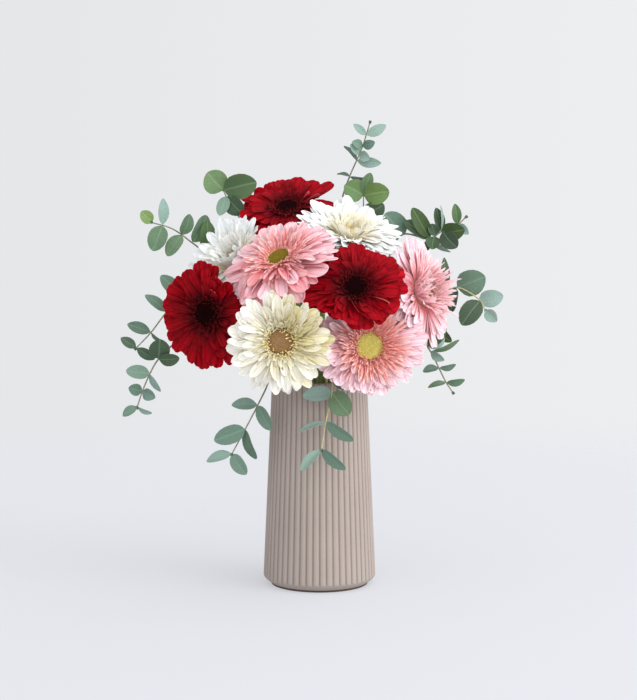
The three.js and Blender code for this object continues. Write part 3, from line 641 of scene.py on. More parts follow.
def fringe_rings(bloom, kind, chance):
    """The rings of narrow florets that close in on the disc. They bend less than the rays do."""
    groups = []
    rings = kind["fringe"]
    for k, (count, gap, length, width, rise, curl) in enumerate(rings):
        count, width = round(count * bloom["fine"]), width / bloom["fine"]
        theta = (np.arange(count) + chance.uniform(-0.35, 0.35, count)) * math.tau / count
        bend, room = room_at(bloom, theta)
        long = length * chance.normal(1, 0.14, count) * np.minimum(1, room + 0.15)
        lift = chance.normal(0, 6, count)
        tip = chance.normal(-6, 20, count)
        slope = lambda s: rise + bloom["crown"] + curl * s + lift[:, None] + tip[:, None] * s
        lines = ray_lines(bloom, theta, long, FRINGE_ROOT, bloom["disc"] + gap, slope, bend * 0.3)
        wide = width * chance.normal(1, 0.14, count)
        yaw = chance.normal(0, 0.1, count)
        sweep = chance.normal(0, 0.12, count) * long
        twist = chance.normal(0, 0.4, count)
        points = lay(FRINGE_FLORET, theta, lines, wide, yaw, sweep, twist)
        inward = (0.65 + 0.35 * (k + 1) / len(rings)) * PALE_INSIDE.get(bloom["name"], 1)
        # A random tone, less the painted shade on one side.
        tone = chance.normal(bloom["tone"], 1, count) - on_side(PAINTED_SHADE_BY_SIDE, bloom, theta)
        groups.append(copies(FRINGE_FLORET, in_bunch(bloom, points), tone, inward))
    return groups


pink_rings = KINDS["pink"]["rings"] + KINDS["pink"]["fringe"]
print("a pink gerbera has about", sum(ring[0] for ring in pink_rings), "petals and florets")

# %% [markdown]
# ## The disc
# Buds on a disc follow the golden angle, as seeds do in a sunflower: each new one turns by 137.5
# degrees, and its distance from the middle grows with the square root of its number. Round them
# the florets stand open, with stamens.

# %% Pack the disc
GOLDEN_ANGLE = math.radians(137.508)
DISC_BASE, DISC_RISE = 1.9, 2.6
FLOOR_SUNK, BUD_SUNK, STAMEN_SUNK = 0.5, 0.45, 0.6  # below the dome that the buds make
DISC_KINDS = {
    # number of buds, their height, share of the radius that they fill, rows of stamens, their height
    "cream": (230, 1.1, 0.8, [(0.86, 32), (0.98, 36), (1.1, 38), (1.2, 36)], 4.6),
    "white": (210, 1.1, 0.72, [(0.8, 30), (0.93, 36)], 3),
    "red": (240, 1.3, 0.8, [(0.86, 40), (0.97, 44)], 2.8),
    "pink": (280, 1.0, 0.9, [(0.97, 46)], 2.2),
}


def dome_height(share):
    return DISC_BASE + DISC_RISE * (1 - share**2) ** 0.5 * (1 - 0.25 * np.exp(-((share / 0.3) ** 2)))


def draw_disc_floor(radius):
    """The floor of the disc, under the buds: a circle drawn up in rings, as dark as the buds' roots, with
    painted shade.
    """
    shares = (0.99, 0.9, 0.72, 0.5, 0.25, 0.06)
    rings = [(share * radius, float(dome_height(share)) - FLOOR_SUNK) for share in shares]
    floor = draw_spike(28, [(radius, DISC_BASE - 1.2), *rings])
    floor["along"] = floor["under"]
    return floor


def stand(model, x, y, height, size, tall, lean, chance):
    """Copies of a spike on the disc, leaning outwards. size and tall are in millimetres."""
    turn = chance.uniform(0, math.tau, len(x))
    cos, sin = np.cos(turn)[:, None], np.sin(turn)[:, None]
    px, py, pz = (model["points"][:, k][None] for k in range(3))
    around = np.arctan2(y, x)[:, None]
    shift = np.tan(lean)[:, None] * pz * tall[:, None]
    wide = size[:, None]
    return np.stack([
        x[:, None] + (px * cos - py * sin) * wide + shift * np.cos(around),
        y[:, None] + (px * sin + py * cos) * wide + shift * np.sin(around),
        height[:, None] + pz * tall[:, None],
    ], 2)


def disc_groups(bloom, chance):
    """The floor, the buds and the rows of stamens."""
    number, bud_height, open_share, rows, stamen_height = DISC_KINDS[bloom["colour"]]
    radius = bloom["disc"]
    count = np.arange(number) + 0.5
    share = np.sqrt(count / number) * open_share
    angle = count * GOLDEN_ANGLE
    x, y = share * radius * np.cos(angle), share * radius * np.sin(angle)
    spacing = radius * open_share * math.sqrt(math.pi / number)
    size = np.full(number, spacing * 1.08) * chance.normal(1, 0.06, number)
    tall = bud_height * chance.normal(1, 0.1, number) * (0.8 + 0.4 * share)
    buds = stand(BUD, x, y, dome_height(share) - BUD_SUNK, size, tall, share * 0.15, chance)
    # Buds ripen towards the edge; on some discs they all take painted shade.
    ripeness_and_painted_shade = np.maximum(share * 0.7, DISC_PAINTED_SHADE.get(bloom["name"], 0))
    floor = draw_disc_floor(radius)
    groups = [
        copies(floor, in_bunch(bloom, floor["points"][None]), 0, 0),
        copies(BUD, in_bunch(bloom, buds), chance.normal(0, 1, number), ripeness_and_painted_shade),
    ]
    for place, count in rows:
        angle = (np.arange(count) + chance.uniform(-0.3, 0.3, count)) * math.tau / count
        share = place + chance.normal(0, 0.012, count)
        x, y = share * radius * np.cos(angle), share * radius * np.sin(angle)
        root = dome_height(np.minimum(share, 0.995)) - STAMEN_SUNK
        size = chance.normal(1.9, 0.3, count)
        tall = stamen_height * chance.normal(1, 0.14, count)
        lean = np.clip(chance.normal(0.15, 0.4, count), -0.8, 0.8)
        stamens = stand(STAMEN, x, y, root, size, tall, lean, chance)
        groups.append(copies(STAMEN, in_bunch(bloom, stamens), chance.normal(0, 1, count), 1))
    return groups


print("the middle of a disc stands", round(float(dome_height(np.array(0.0))), 1), "mm over its rays' roots")

# %% [markdown]
# ## Stem, cup and bracts
# A gerbera's stem is leafless and softly downy. At its top it widens into a cup covered in two rings
# of narrow green bracts, which shows wherever a flower is seen from the side or from behind.

# %% Draw the stem with its cup
CALYX_DEPTH = 17
CUP = [(17, 0.26), (15.5, 0.36), (13, 0.58), (9, 0.84), (5, 0.97), (1.5, 1.0), (-1.4, 0.94)]  # depth, width
STEM_RADIUS, STEM_TIP = 2.8, 2.5
NECK = 14  # the straight length under the cup
STEM_POINTS, STEM_SIDES = 44, 16


def stem_groups(bloom, chance):
    """The stem with its cup, and two rings of bracts."""
    neck = lambda depth: in_bunch(bloom, np.array([0, 0, -depth]))
    points = way_through_vase(*bloom["mouth"]) + [neck(CALYX_DEPTH + NECK), neck(CALYX_DEPTH)]
    line = along_curve(points, np.linspace(0, len(points) - 1, STEM_POINTS))
    top = bloom["disc"] - 0.5
    cup = [neck(depth) for depth, _ in CUP[1:]]
    radii = [STEM_RADIUS] * (len(line) - 3) + [STEM_RADIUS - 0.1, STEM_RADIUS - 0.2, STEM_TIP]
    stalk = draw_stalk([*line, *cup], radii + [share * top for _, share in CUP[1:]], STEM_SIDES)
    groups = [copies(stalk, stalk["points"][None], 0, 0)]
    # The bracts follow the cup from its base to its rim.
    for count, low, high, rise in ((18, 16.5, 5, 0.5), (22, 12, 0.5, 0.2)):
        theta = (np.arange(count) + chance.uniform(-0.15, 0.15, count)) * math.tau / count
        depth = np.linspace(low, high, STEPS + 1)
        r = np.interp(-depth, [-d for d, _ in CUP], [w * top for _, w in CUP]) + rise
        r = r + np.linspace(0, 1, STEPS + 1) ** 3 * 0.8
        slope = np.arctan2(-np.gradient(depth), np.gradient(r))
        wide = np.ones((count, 1))
        bracts = lay(BRACT, theta, (r * wide, -depth * wide, slope * wide), chance.normal(3.4, 0.3, count))
        groups.append(copies(BRACT, in_bunch(bloom, bracts), chance.normal(0, 1, count), 1))
    return groups


print("a cup is", CALYX_DEPTH, "mm deep")

# %% [markdown]
# ## Materials of the flowers
# A petal is a thin, moist film with a skin of tiny domed cells. The domes scatter light, which is
# why a red petal looks like velvet: it has almost no gloss. The colour runs from base to tip, with
# fine streaks along the veins, painted shade in the two folds and along the edge, and the underside is paler.

# %% Petals


def petal_material(
    name, ray, fringe, underside, pale, streak, painted_fold_shade, edge, shade, soft, velvet
):
    """A living petal. ray and fringe are colours from base to tip, pale is how far the underside goes
    towards its own colour, streak is how strong the veins are, painted_fold_shade and edge are painted
    shade in the two folds and along the edge, shade is the colour of a petal with a low tone, which is
    random and is also painted shade on one side of some blooms, soft is how much light spreads inside
    it and velvet how much its cells scatter."""
    material, tree, surface = new_material(name)
    values = (add_node(tree, "Attribute", out="Fac", attribute_name=key) for key in VALUES)
    along, across, under, tone, whorl = values
    rays = add_node(tree, "ValToRGB", {"Fac": along}, stops=ray)
    inner = add_node(tree, "ValToRGB", {"Fac": along}, stops=fringe)
    inward = add_node(tree, "MapRange", {"Value": whorl, 1: 0.25, 2: 0.75})
    colour = add_node(tree, "Mix", {0: inward, 6: rays, 7: inner}, **BLEND)
    # Veins stand about 0.6 mm apart on a petal of 10 mm, so 16 of them across, and broader streaks
    # run over every three or four. Each petal has its own pattern, from its tone.
    number = add_node(tree, "Math", {0: tone, 1: 37}, operation="MULTIPLY")
    x = add_node(tree, "Math", {0: across, 1: 8}, operation="MULTIPLY")
    y = add_node(tree, "Math", {0: along, 1: 1.6}, operation="MULTIPLY")
    spot = add_node(tree, "CombineXYZ", {0: x, 1: y, 2: number})
    veins = add_node(tree, "TexNoise", {"Vector": spot, "Scale": 1, "Detail": 2})
    broad = add_node(tree, "TexNoise", {"Vector": spot, "Scale": 0.28, "Detail": 1})
    levels = [
        add_node(tree, "MapRange", {"Value": pattern, 1: 0.3, 2: 0.7, 3: 1 - streak, 4: 1 + streak / 2})
        for pattern in (veins, broad)
    ]
    side = add_node(tree, "Math", {0: across}, operation="ABSOLUTE")
    white = "#FFFFFF"
    # Painted shade: the two folds and the edge are darkened.
    lines = [(0.3, white), (0.48, painted_fold_shade), (0.66, white), (0.86, white), (1, edge)]
    folds = add_node(tree, "ValToRGB", {"Fac": side}, stops=lines)
    # A low tone darkens a petal: at random, and as painted shade on one side of some blooms.
    own = add_node(tree, "MapRange", {"Value": tone, 1: -4, 2: 2})
    own = add_node(tree, "ValToRGB", {"Fac": own}, stops=[(0, shade), (0.65, white)])
    for layer in (*levels, folds, own):
        colour = add_node(tree, "Mix", {0: 1, 6: colour, 7: layer}, **TINT)
    below = add_node(tree, "MapRange", {"Value": under, 1: 0.9, 2: 1, 3: 0, 4: pale})
    colour = add_node(tree, "Mix", {0: below, 6: colour, 7: linear(underside)}, **BLEND)
    bump = add_node(tree, "Bump", {"Height": veins, "Strength": 0.5, "Distance": 0.4 * MM})
    set_sockets(tree, surface, {
        "Base Color": colour,
        "Normal": bump,
        "Roughness": 0.62,
        "IOR": 1.4,  # leaf wax and cell water
        "Specular IOR Level": 0.1,  # low: the domed cells break it up
        "Sheen Weight": velvet,
        "Sheen Roughness": 0.4,
        "Sheen Tint": linear(underside),
        "Subsurface Weight": soft,
        "Subsurface Radius": (1, 0.8, 0.7),
        "Subsurface Scale": 2 * MM,
    })
    return material


PETALS = {
    "red": petal_material(
        "red_velvet_petal",
        [(0, "#360005"), (0.3, "#74000B"), (0.7, "#A00012"), (1, "#AA0216")],
        [(0, "#160002"), (0.5, "#420006"), (1, "#780612")],
        "#D25C60", 0.5, 0.2, "#C8A8A8", "#A88088", "#A08890", 0.3, 0.12),
    "pink": petal_material(
        "pale_pink_petal",
        [(0, "#EE8E94"), (0.3, "#F4AEB8"), (0.6, "#F9CAD2"), (1, "#FCDCE2")],
        [(0, "#FAAE7C"), (0.3, "#F89084"), (0.75, "#FCB2A8"), (1, "#FFE4DA")],
        "#FCDDE0", 0.5, 0.08, "#F8DCDC", "#F0C0C0", "#F0A6A6", 0.5, 0.03),
    "white": petal_material(
        "white_petal",
        [(0, "#EEE2BC"), (0.25, "#F5F0E0"), (0.6, "#F8F8F5"), (1, "#FAFBFB")],
        [(0, "#EAD29C"), (0.5, "#F3E6C4"), (1, "#F7F3E2")],
        "#F6F6F2", 0.4, 0.06, "#ECEEEA", "#D6DAD6", "#D4D6D6", 0.3, 0.03),
    "cream": petal_material(
        "cream_petal",
        [(0, "#F0E2B4"), (0.3, "#F8F0D8"), (0.65, "#FCF7EB"), (1, "#FDFBF4")],
        [(0, "#E4D8A4"), (0.5, "#F4ECCA"), (1, "#FAF6E4")],
        "#FCF8EE", 0.5, 0.05, "#F6F0E2", "#ECE6D2", "#E4DCB6", 0.3, 0.03),
}
print(len(PETALS), "petal materials")

# %% [markdown]
# The disc's buds are green, yellow, brown or almost black when shut, and their open neighbours
# carry pollen. The whorl value runs from the middle of the disc outwards, and 1 is a stamen. On two
# discs the buds are raised to the last, olive colour, which is painted shade.

# %% Discs
DISC_RAMP_END = 0.85


def disc_material(name, across_disc, stamen, gloss):
    """across_disc holds colours from the middle outwards, stamen from root to tip."""
    material, tree, surface = new_material(name)
    keys = ("along", "tone", "whorl")
    along, tone, whorl = (add_node(tree, "Attribute", out="Fac", attribute_name=key) for key in keys)
    place = add_node(tree, "Math", {0: whorl, 1: 1 / DISC_RAMP_END}, operation="MULTIPLY")
    buds = add_node(tree, "ValToRGB", {"Fac": place}, stops=across_disc)
    # Painted shade darkens the buds towards their roots, and a painted highlight lightens their tips.
    depth = add_node(tree, "MapRange", {"Value": along, 1: 0.2, 2: 0.9, 3: 0.7, 4: 1.12})
    depth = add_node(tree, "Math", {0: tone, 1: 0.07, 2: depth}, operation="MULTIPLY_ADD")
    buds = add_node(tree, "Mix", {0: 1, 6: buds, 7: depth}, **TINT)
    stamens = add_node(tree, "ValToRGB", {"Fac": along}, stops=stamen)
    opened = add_node(tree, "Math", {0: whorl, 1: 0.9}, operation="GREATER_THAN")
    colour = add_node(tree, "Mix", {0: opened, 6: buds, 7: stamens}, **BLEND)
    grain = add_node(tree, "TexNoise", {"Scale": 1 / (0.4 * MM), "Detail": 2})
    bump = add_node(tree, "Bump", {"Height": grain, "Strength": 0.4, "Distance": 0.2 * MM})
    finish = {"Base Color": colour, "Normal": bump, "Roughness": 0.75, "Specular IOR Level": gloss}
    set_sockets(tree, surface, finish)
    return material


DISCS = {
    "red": disc_material(
        "dark_disc_florets",
        [(0, "#180003"), (1, "#200104")],
        [(0, "#120002"), (0.7, "#2C0205"), (1, "#52100E")], 0.06),
    # The pink discs' last, olive colour is painted shade; only the discs in DISC_PAINTED_SHADE reach it.
    "pink": disc_material(
        "yellow_green_disc_florets",
        [(0, "#D2C866"), (0.5, "#DACE74"), (0.8, "#DAC468"), (1, "#84701E")],
        [(0, "#C09A4C"), (0.7, "#E2BC6C"), (1, "#F0CE8A")], 0.2),
    "white": disc_material(
        "straw_disc_florets",
        [(0, "#D8CB86"), (0.6, "#DED092"), (1, "#D0B872")],
        [(0, "#B89250"), (0.7, "#E6CE94"), (1, "#F5E6BC")], 0.2),
    "cream": disc_material(
        "brown_disc_florets",
        [(0, "#A88560"), (0.5, "#AC8657"), (1, "#A07C40")],
        [(0, "#8A6630"), (0.6, "#D2B668"), (1, "#F3E4AC")], 0.2),
}
print(len(DISCS), "disc materials")

# %% [markdown]
# Stems are soft and green with a bloom of fine hairs, too fine to see one by one; they show as a
# slight frosting. The bracts are a deeper, matt green.

# %% Stems
STEM_FINISH, tree, surface = new_material("downy_green_stem")
place = add_node(tree, "TexCoord", out="Object")
# Faint ridges run along the stem, about 1 mm apart.
stretched = add_node(tree, "Mapping", {"Vector": place, "Scale": (1, 1, 0.08)})
ridges = add_node(tree, "TexNoise", {"Vector": stretched, "Scale": 1 / (1.2 * MM), "Detail": 2})
greens = [(0.3, "#6A8740"), (0.5, "#7C9A4E"), (0.7, "#8FA962")]
stem_green = add_node(tree, "ValToRGB", {"Fac": ridges}, stops=greens)
along = add_node(tree, "Attribute", out="Fac", attribute_name="along")
on_bract = add_node(tree, "Attribute", out="Fac", attribute_name="whorl")
greens = [(0, "#3F5F30"), (0.6, "#55783D"), (1, "#7E9A58")]
bract_green = add_node(tree, "ValToRGB", {"Fac": along}, stops=greens)
colour = add_node(tree, "Mix", {0: on_bract, 6: stem_green, 7: bract_green}, **BLEND)
bump = add_node(tree, "Bump", {"Height": ridges, "Strength": 0.4, "Distance": 0.3 * MM})
DOWN = 0.15
set_sockets(tree, surface, {"Base Color": colour, "Normal": bump, "Roughness": 0.6, "Sheen Weight": DOWN})
print(STEM_FINISH.name)

# %% [markdown]
# ## Twelve gerberas
# Everything comes together: rings of rays, the fringe, the disc and the stem. The random numbers
# are seeded with the flower's place in the list, so each run gives the same bunch.

# %% Make the blooms
for number, bloom in enumerate(BLOOMS):
    chance = np.random.default_rng(100 + number)
    colour, name = bloom["colour"], "gerbera_" + bloom["name"]
    kind = KINDS[colour]
    petals = ray_rings(bloom, kind, chance) + fringe_rings(bloom, kind, chance)
    parts = [
        build(name + "_florets", petals, [PETALS[colour]], name + "_petals"),
        build(name + "_buds", disc_groups(bloom, chance), [DISCS[colour]], name + "_disc"),
        build(name + "_stalk", stem_groups(bloom, chance), [STEM_FINISH], name + "_stem"),
    ]
    print(name, [len(part.data.polygons) for part in parts], "faces")

# %% [markdown]
# ## Thirteen sprays of eucalyptus
# Each spray has the azimuth where its twig crosses the rim, the way it takes from there, and its
# leaves: place on the way, tip from the twig as x, y, z, width, roll, and the look of the leaf. A
# look says how green the leaf is, against the blue-grey of its wax, and how light, which is partly
# the leaf's own colour and partly painted shade on leaves deep in the bunch.

# %% The list of sprays
# The low second numbers of the darker looks are partly painted shade.
LOOKS = {
    "mint": (0.0, 0.8), "blue": (0.15, 0.1), "slate": (0.15, -0.75), "sage": (0.5, 0.1),
    "dark": (0.55, -0.85), "olive": (1.0, -0.7), "leaf": (0.75, -0.1), "green": (0.85, -0.45),
    "bright": (0.95, 0.25), "lime": (1.0, 0.75),
}
SPRAYS = {
    "top": (76,
        [(13, 50, 290), (18, 57, 350), (23, 58, 386), (31, 54, 410), (38, 49, 426), (44, 44, 440),
         (51, 38, 463)],
        [(3, -13, 5, 3, 9, 65, "slate"), (3, 19, -4, -3, 10, 65, "blue"), (4, -13, 6, 15, 10, 60, "slate"),
         (4, 25, -6, -3, 11, 15, "mint"), (4.5, -10, -8, 9, 11, 20, "mint"),
         (4.5, 10, -8, -6, 11, 20, "mint"), (5, -11, -7, 4, 10, 10, "blue"), (5, 12, -7, 4, 10, 10, "blue"),
         (5.5, -13, -3, 11, 8, 10, "mint"), (5.5, 20, -3, 10, 11, 10, "mint")]),
    "upper_left": (143,
        [(-44, 26, 270), (-64, 38, 328), (-81, 43, 366), (-92, 41, 383), (-98, 39, 395)],
        [(4, -16, -4, 18, 26, 5, "bright"), (4, 34, -4, 8, 26, 10, "green"),
         (3.5, -6, -12, -20, 13, 10, "blue"), (3.5, 17, -2, -18, 19, 15, "dark")]),
    "left": (163,
        [(-60, 27, 262), (-98, 44, 316), (-130, 38, 342), (-149, 26, 356), (-168, 16, 362)],
        [(1.5, 0, -2, 34, 18, 15, "leaf"), (2, 14, 8, 28, 16, 25, "leaf"), (2.5, 8, -3, 21, 15, 35, "sage"),
         (2.5, -14, -5, -22, 17, 25, "sage"), (3.5, 1, -3, 27, 11, 15, "mint"),
         (3.5, -9, -5, -26, 20, 10, "sage"), (4, -11, -3, 11, 13, 10, "lime")]),
    "side_left": (-167,
        [(-64, 0, 245), (-105, 4, 282), (-137, 6, 287), (-152, -5, 273), (-167, -12, 253),
         (-181, -18, 238)],
        [(2, -22, 2, 22, 15, 10, "blue"), (3, -21, -3, 17, 12, 30, "blue"), (4, -23, -4, 8, 12, 30, "blue"),
         (4, 13, 4, -9, 10, 65, "blue"), (5, -15, -2, 10, 10, 15, "dark"),
         (5, 18, 3, -11, 11, 20, "dark")]),
    "low_left": (-151,
        [(-62, -16, 226), (-102, -14, 244), (-142, -8, 242), (-159, -18, 227), (-167, -25, 213),
         (-174, -28, 196), (-179, -30, 181)],
        [(3, 2, -7, 20, 21, 10, "dark"), (3, 21, -5, 1, 13, 20, "dark"), (4, -23, -4, 3, 14, 15, "blue"),
         (4, 10, 3, -18, 12, 55, "mint"), (5, -13, -6, 4, 12, 10, "blue"), (5, 13, -6, -6, 12, 10, "blue"),
         (6, -14, -3, -9, 9, 10, "blue"), (6, 14, 2, -7, 8, 60, "mint")]),
    "front_left": (-133,
        [(-29, -31, 222), (-44, -38, 217), (-53, -42, 198), (-60, -45, 184), (-72, -47, 161),
         (-85, -48, 137)],
        [(3, -25, -6, 1, 12, 25, "blue"), (3, 13, -5, -24, 13, 20, "blue"),
         (4, -30, -5, -11, 18, 5, "blue"), (4, 10, 2, -30, 13, 50, "blue"),
         (5, -25, -2, -7, 12, 35, "mint"), (5, 14, -3, -20, 14, 5, "blue")]),
    "front": (-80,
        [(8, -42, 220), (11, -53, 218), (12, -61, 198), (6, -66, 170), (2, -69, 144)],
        [(1.5, 26, -2, -4, 17, 10, "slate"), (2, -28, -9, -3, 15, 15, "mint"),
         (2, 17, -7, -21, 22, 5, "sage"), (3, -26, -2, -11, 12, 68, "mint"),
         (3, 27, -4, -17, 13, 30, "blue"), (4, -19, -3, -21, 12, 50, "mint"),
         (4, 23, -3, -19, 13, 35, "blue")]),
    "low_right": (-28,
        [(58, -20, 226), (84, -18, 242), (101, -24, 244), (109, -29, 235), (117, -33, 219), (124, -34, 205),
         (130, -35, 196)],
        [(2.5, 18, 18, 8, 14, 10, "mint"), (2.5, 19, 10, 20, 14, 15, "olive"),
         (3, 27, -3, 13, 10, 60, "sage"), (3, 13, -7, -8, 9, 20, "mint"), (4, -16, -3, -3, 9, 45, "blue"),
         (4, 16, -3, 5, 9, 40, "blue"), (5, -18, -3, -4, 9, 55, "sage"), (5, 18, -3, 3, 9, 30, "sage")]),
    "right": (4,
        [(64, 14, 240), (104, 26, 268), (124, 24, 289), (138, 14, 297), (161, 6, 284), (166, 5, 275)],
        [(2, 2, 0, 38, 12, 25, "dark"), (1, 30, -6, -26, 15, 20, "olive"), (3, 28, -6, 11, 28, 10, "blue"),
         (3, -4, 4, -25, 14, 45, "dark"), (3.9, 24, -5, 3, 18, 10, "mint"),
         (4, -19, -7, -24, 21, 10, "dark"), (5, 11, -4, -12, 12, 10, "mint")]),
    "upper_right": (25,
        [(50, 28, 255), (66, 38, 312), (84, 38, 350), (112, 29, 346), (123, 24, 353), (139, 21, 360),
         (147, 20, 367)],
        [(2.15, -22, -8, 20, 25, 10, "blue"), (3, -18, -4, 31, 16, 20, "olive"),
         (3, 21, -6, -13, 10, 55, "mint"), (3, -26, 4, 17, 16, 20, "dark"),
         (3.4, -3, -6, -13, 15, 10, "dark"), (3.4, -3, 4, 13, 13, 20, "dark"),
         (4, -6, -3, 24, 12, 20, "dark"), (4, -2, -6, 26, 6, 60, "mint"), (4, 23, -8, 2, 19, 10, "olive"),
         (4.1, 14, -9, -17, 18, 10, "dark"), (3, -5, -4, -15, 9, 40, "olive"),
         (5, -3, -4, 21, 10, 10, "leaf"), (5.2, 9, -4, -11, 9, 15, "mint")]),
    "upper_back": (52,
        [(34, 42, 270), (42, 50, 330), (45, 48, 368), (45, 44, 390)],
        [(2, 21, -5, 13, 20, 10, "dark"), (3, -20, -8, 10, 23, 10, "bright"),
         (3, 26, -6, 4, 23, 10, "bright"), (3, 7, -4, 23, 13, 5, "leaf")]),
    "back_hanging": (112,
        [(-16, 40, 220), (-19, 54, 216), (-22, 64, 196), (-25, 71, 168), (-28, 77, 142)],
        [(2, -23, 8, -5, 15, 15, "blue"), (2, 17, 8, -18, 20, 10, "sage"), (3, -24, 6, -12, 13, 20, "blue"),
         (3, 22, 6, -16, 14, 10, "leaf"), (4, -17, 5, -19, 12, 20, "mint"),
         (4, 20, 5, -17, 12, 10, "blue")]),
    "back": (94,
        [(-2, 62, 234), (3, 90, 246), (9, 112, 238), (15, 128, 220)],
        [(1, -24, 4, 9, 18, 30, "sage"), (1, 22, 8, 10, 18, 30, "dark"), (2, -20, 8, -12, 16, 20, "blue"),
         (2, 22, 4, -12, 16, 20, "blue"), (3, -15, 5, -14, 13, 20, "mint"),
         (3, 14, 6, -17, 13, 20, "sage")]),
}
YELLOW_TWIGS = ("front", "right")
print(len(SPRAYS), "sprays with", sum(len(s[2]) for s in SPRAYS.values()), "leaves")

# %% [markdown]
# ## Leaf and twig materials
# A powdery wax makes young eucalyptus leaves blue-grey; where it has worn off they are plain green.
# The midrib is pale and the side veins are just visible. The edge often has a thin reddish line.

# %% Leaves
LEAF_FINISH, tree, surface = new_material("waxy_eucalyptus_leaf")
values = (add_node(tree, "Attribute", out="Fac", attribute_name=key) for key in VALUES)
along, across, under, tone, green = values
patches = add_node(tree, "TexNoise", {"Scale": 1 / (9 * MM), "Detail": 3})
light = add_node(tree, "Math", {0: patches, 1: 0.36, 2: 0.32}, operation="MULTIPLY_ADD")
light = add_node(tree, "Math", {0: tone, 1: 0.38, 2: light}, operation="MULTIPLY_ADD")
blues = [(0, "#33473D"), (0.5, "#607A6E"), (1, "#9CB6AC")]
wax_blue = add_node(tree, "ValToRGB", {"Fac": light}, stops=blues)
greens = [(0, "#283616"), (0.5, "#4D6A38"), (1, "#869E58")]
plain_green = add_node(tree, "ValToRGB", {"Fac": light}, stops=greens)
colour = add_node(tree, "Mix", {0: green, 6: wax_blue, 7: plain_green}, **BLEND)
side = add_node(tree, "Math", {0: across}, operation="ABSOLUTE")
# Side veins leave the midrib at a slant, about 1.6 mm apart on a leaf of 25 mm.
slant = add_node(tree, "Math", {0: side, 1: -0.28, 2: along}, operation="MULTIPLY_ADD")
wave = add_node(tree, "Math", {0: slant, 1: 95}, operation="MULTIPLY")
wave = add_node(tree, "Math", {0: wave}, operation="SINE")
veins = add_node(tree, "MapRange", {"Value": wave, 1: 0.4, 2: 1, 3: 0, 4: 0.3})
rib = add_node(tree, "MapRange", {"Value": side, 1: 0.02, 2: 0.1, 3: 0.75, 4: 0})
lines = add_node(tree, "Math", {0: rib, 1: veins}, operation="MAXIMUM")
pale_lines = add_node(tree, "Math", {0: lines, 1: 0.22}, operation="MULTIPLY")
edge = add_node(tree, "MapRange", {"Value": side, 1: 0.86, 2: 1.0, 3: 0, 4: 0.4})
below = add_node(tree, "Math", {0: under, 1: 0.35}, operation="MULTIPLY")
for amount, shade in ((pale_lines, "#B4C9A4"), (edge, "#7E6A4E"), (below, "#96AC9C")):
    colour = add_node(tree, "Mix", {0: amount, 6: colour, 7: linear(shade)}, **BLEND)
bump = add_node(tree, "Bump", {"Height": lines, "Strength": 0.5, "Distance": 0.3 * MM})
LEAF_WAX = 1.45
finish = {"Base Color": colour, "Normal": bump, "Roughness": 0.55, "IOR": LEAF_WAX, "Specular IOR Level": 0.3}
set_sockets(tree, surface, finish)
print(LEAF_FINISH.name)

# %% [markdown]
# The bark of a young twig is thin, grey-brown and a little rough; the newest shoots are still straw
# yellow.

# %% Twigs
TWIG_FINISH, tree, surface = new_material("young_eucalyptus_bark")
place = add_node(tree, "TexCoord", out="Object")
grain = add_node(tree, "TexNoise", {"Vector": place, "Scale": 1 / (2.5 * MM), "Detail": 3})
bark = add_node(tree, "ValToRGB", {"Fac": grain}, stops=[(0.35, "#5F5B4C"), (0.65, "#8A8874")])
straw = add_node(tree, "ValToRGB", {"Fac": grain}, stops=[(0.35, "#A8A070"), (0.65, "#C2BC8C")])
young = add_node(tree, "Attribute", out="Fac", attribute_name="whorl")
colour = add_node(tree, "Mix", {0: young, 6: bark, 7: straw}, **BLEND)
bump = add_node(tree, "Bump", {"Height": grain, "Strength": 0.4, "Distance": 0.2 * MM})
set_sockets(tree, surface, {"Base Color": colour, "Normal": bump, "Roughness": 0.7})
print(TWIG_FINISH.name)

# %% [markdown]
# A leaf is laid from its place on the twig to its tip. It faces the front, rolled by its own angle,
# with a slight arch, a fold along the midrib, and a random cup and curl. Two tiny leaves close each
# twig as a bud.

# %% Make the sprays
TWIG_RADIUS, TWIG_ABOVE, TWIG_TIP = 1.5, 1.0, 0.6
TWIG_STEPS = 9  # from each point of its way to the next
MOUTH, LEAVING = 2 * TWIG_STEPS, 30  # the steps at which a twig is at the rim, and has grown slim
ARCH = 0.07
ROUND_FROM = 13  # leaves as wide as this are round


def laid_leaf(base, to_tip, width, roll, chance):
    """One leaf's points, and the blade that they belong to."""
    long = np.linalg.norm(to_tip)
    along = to_tip / long
    facing = np.array([0, -1, 0]) + along * along[1]
    facing /= np.linalg.norm(facing)
    angle = math.radians(roll)
    facing = facing * math.cos(angle) + np.cross(along, facing) * math.sin(angle)
    across = np.cross(along, facing)
    blade = OVAL_LEAF if width < ROUND_FROM else ROUND_LEAF
    share, side, depth = blade["along"], blade["across"], blade["points"][:, 2]
    half = side * width / 2
    rise = np.sin(share * math.pi) * ARCH * long + depth
    rise = rise + chance.normal(0.08, 0.04) * width * np.abs(side) * np.sin(share * math.pi)
    rise = rise + chance.normal(0, 0.03) * long * share**3 + half * chance.normal(0, 0.15) * share
    bow = chance.normal(0, 0.025) * long * np.sin(share * math.pi)
    return blade, base + share[:, None] * to_tip + (half + bow)[:, None] * across + rise[:, None] * facing


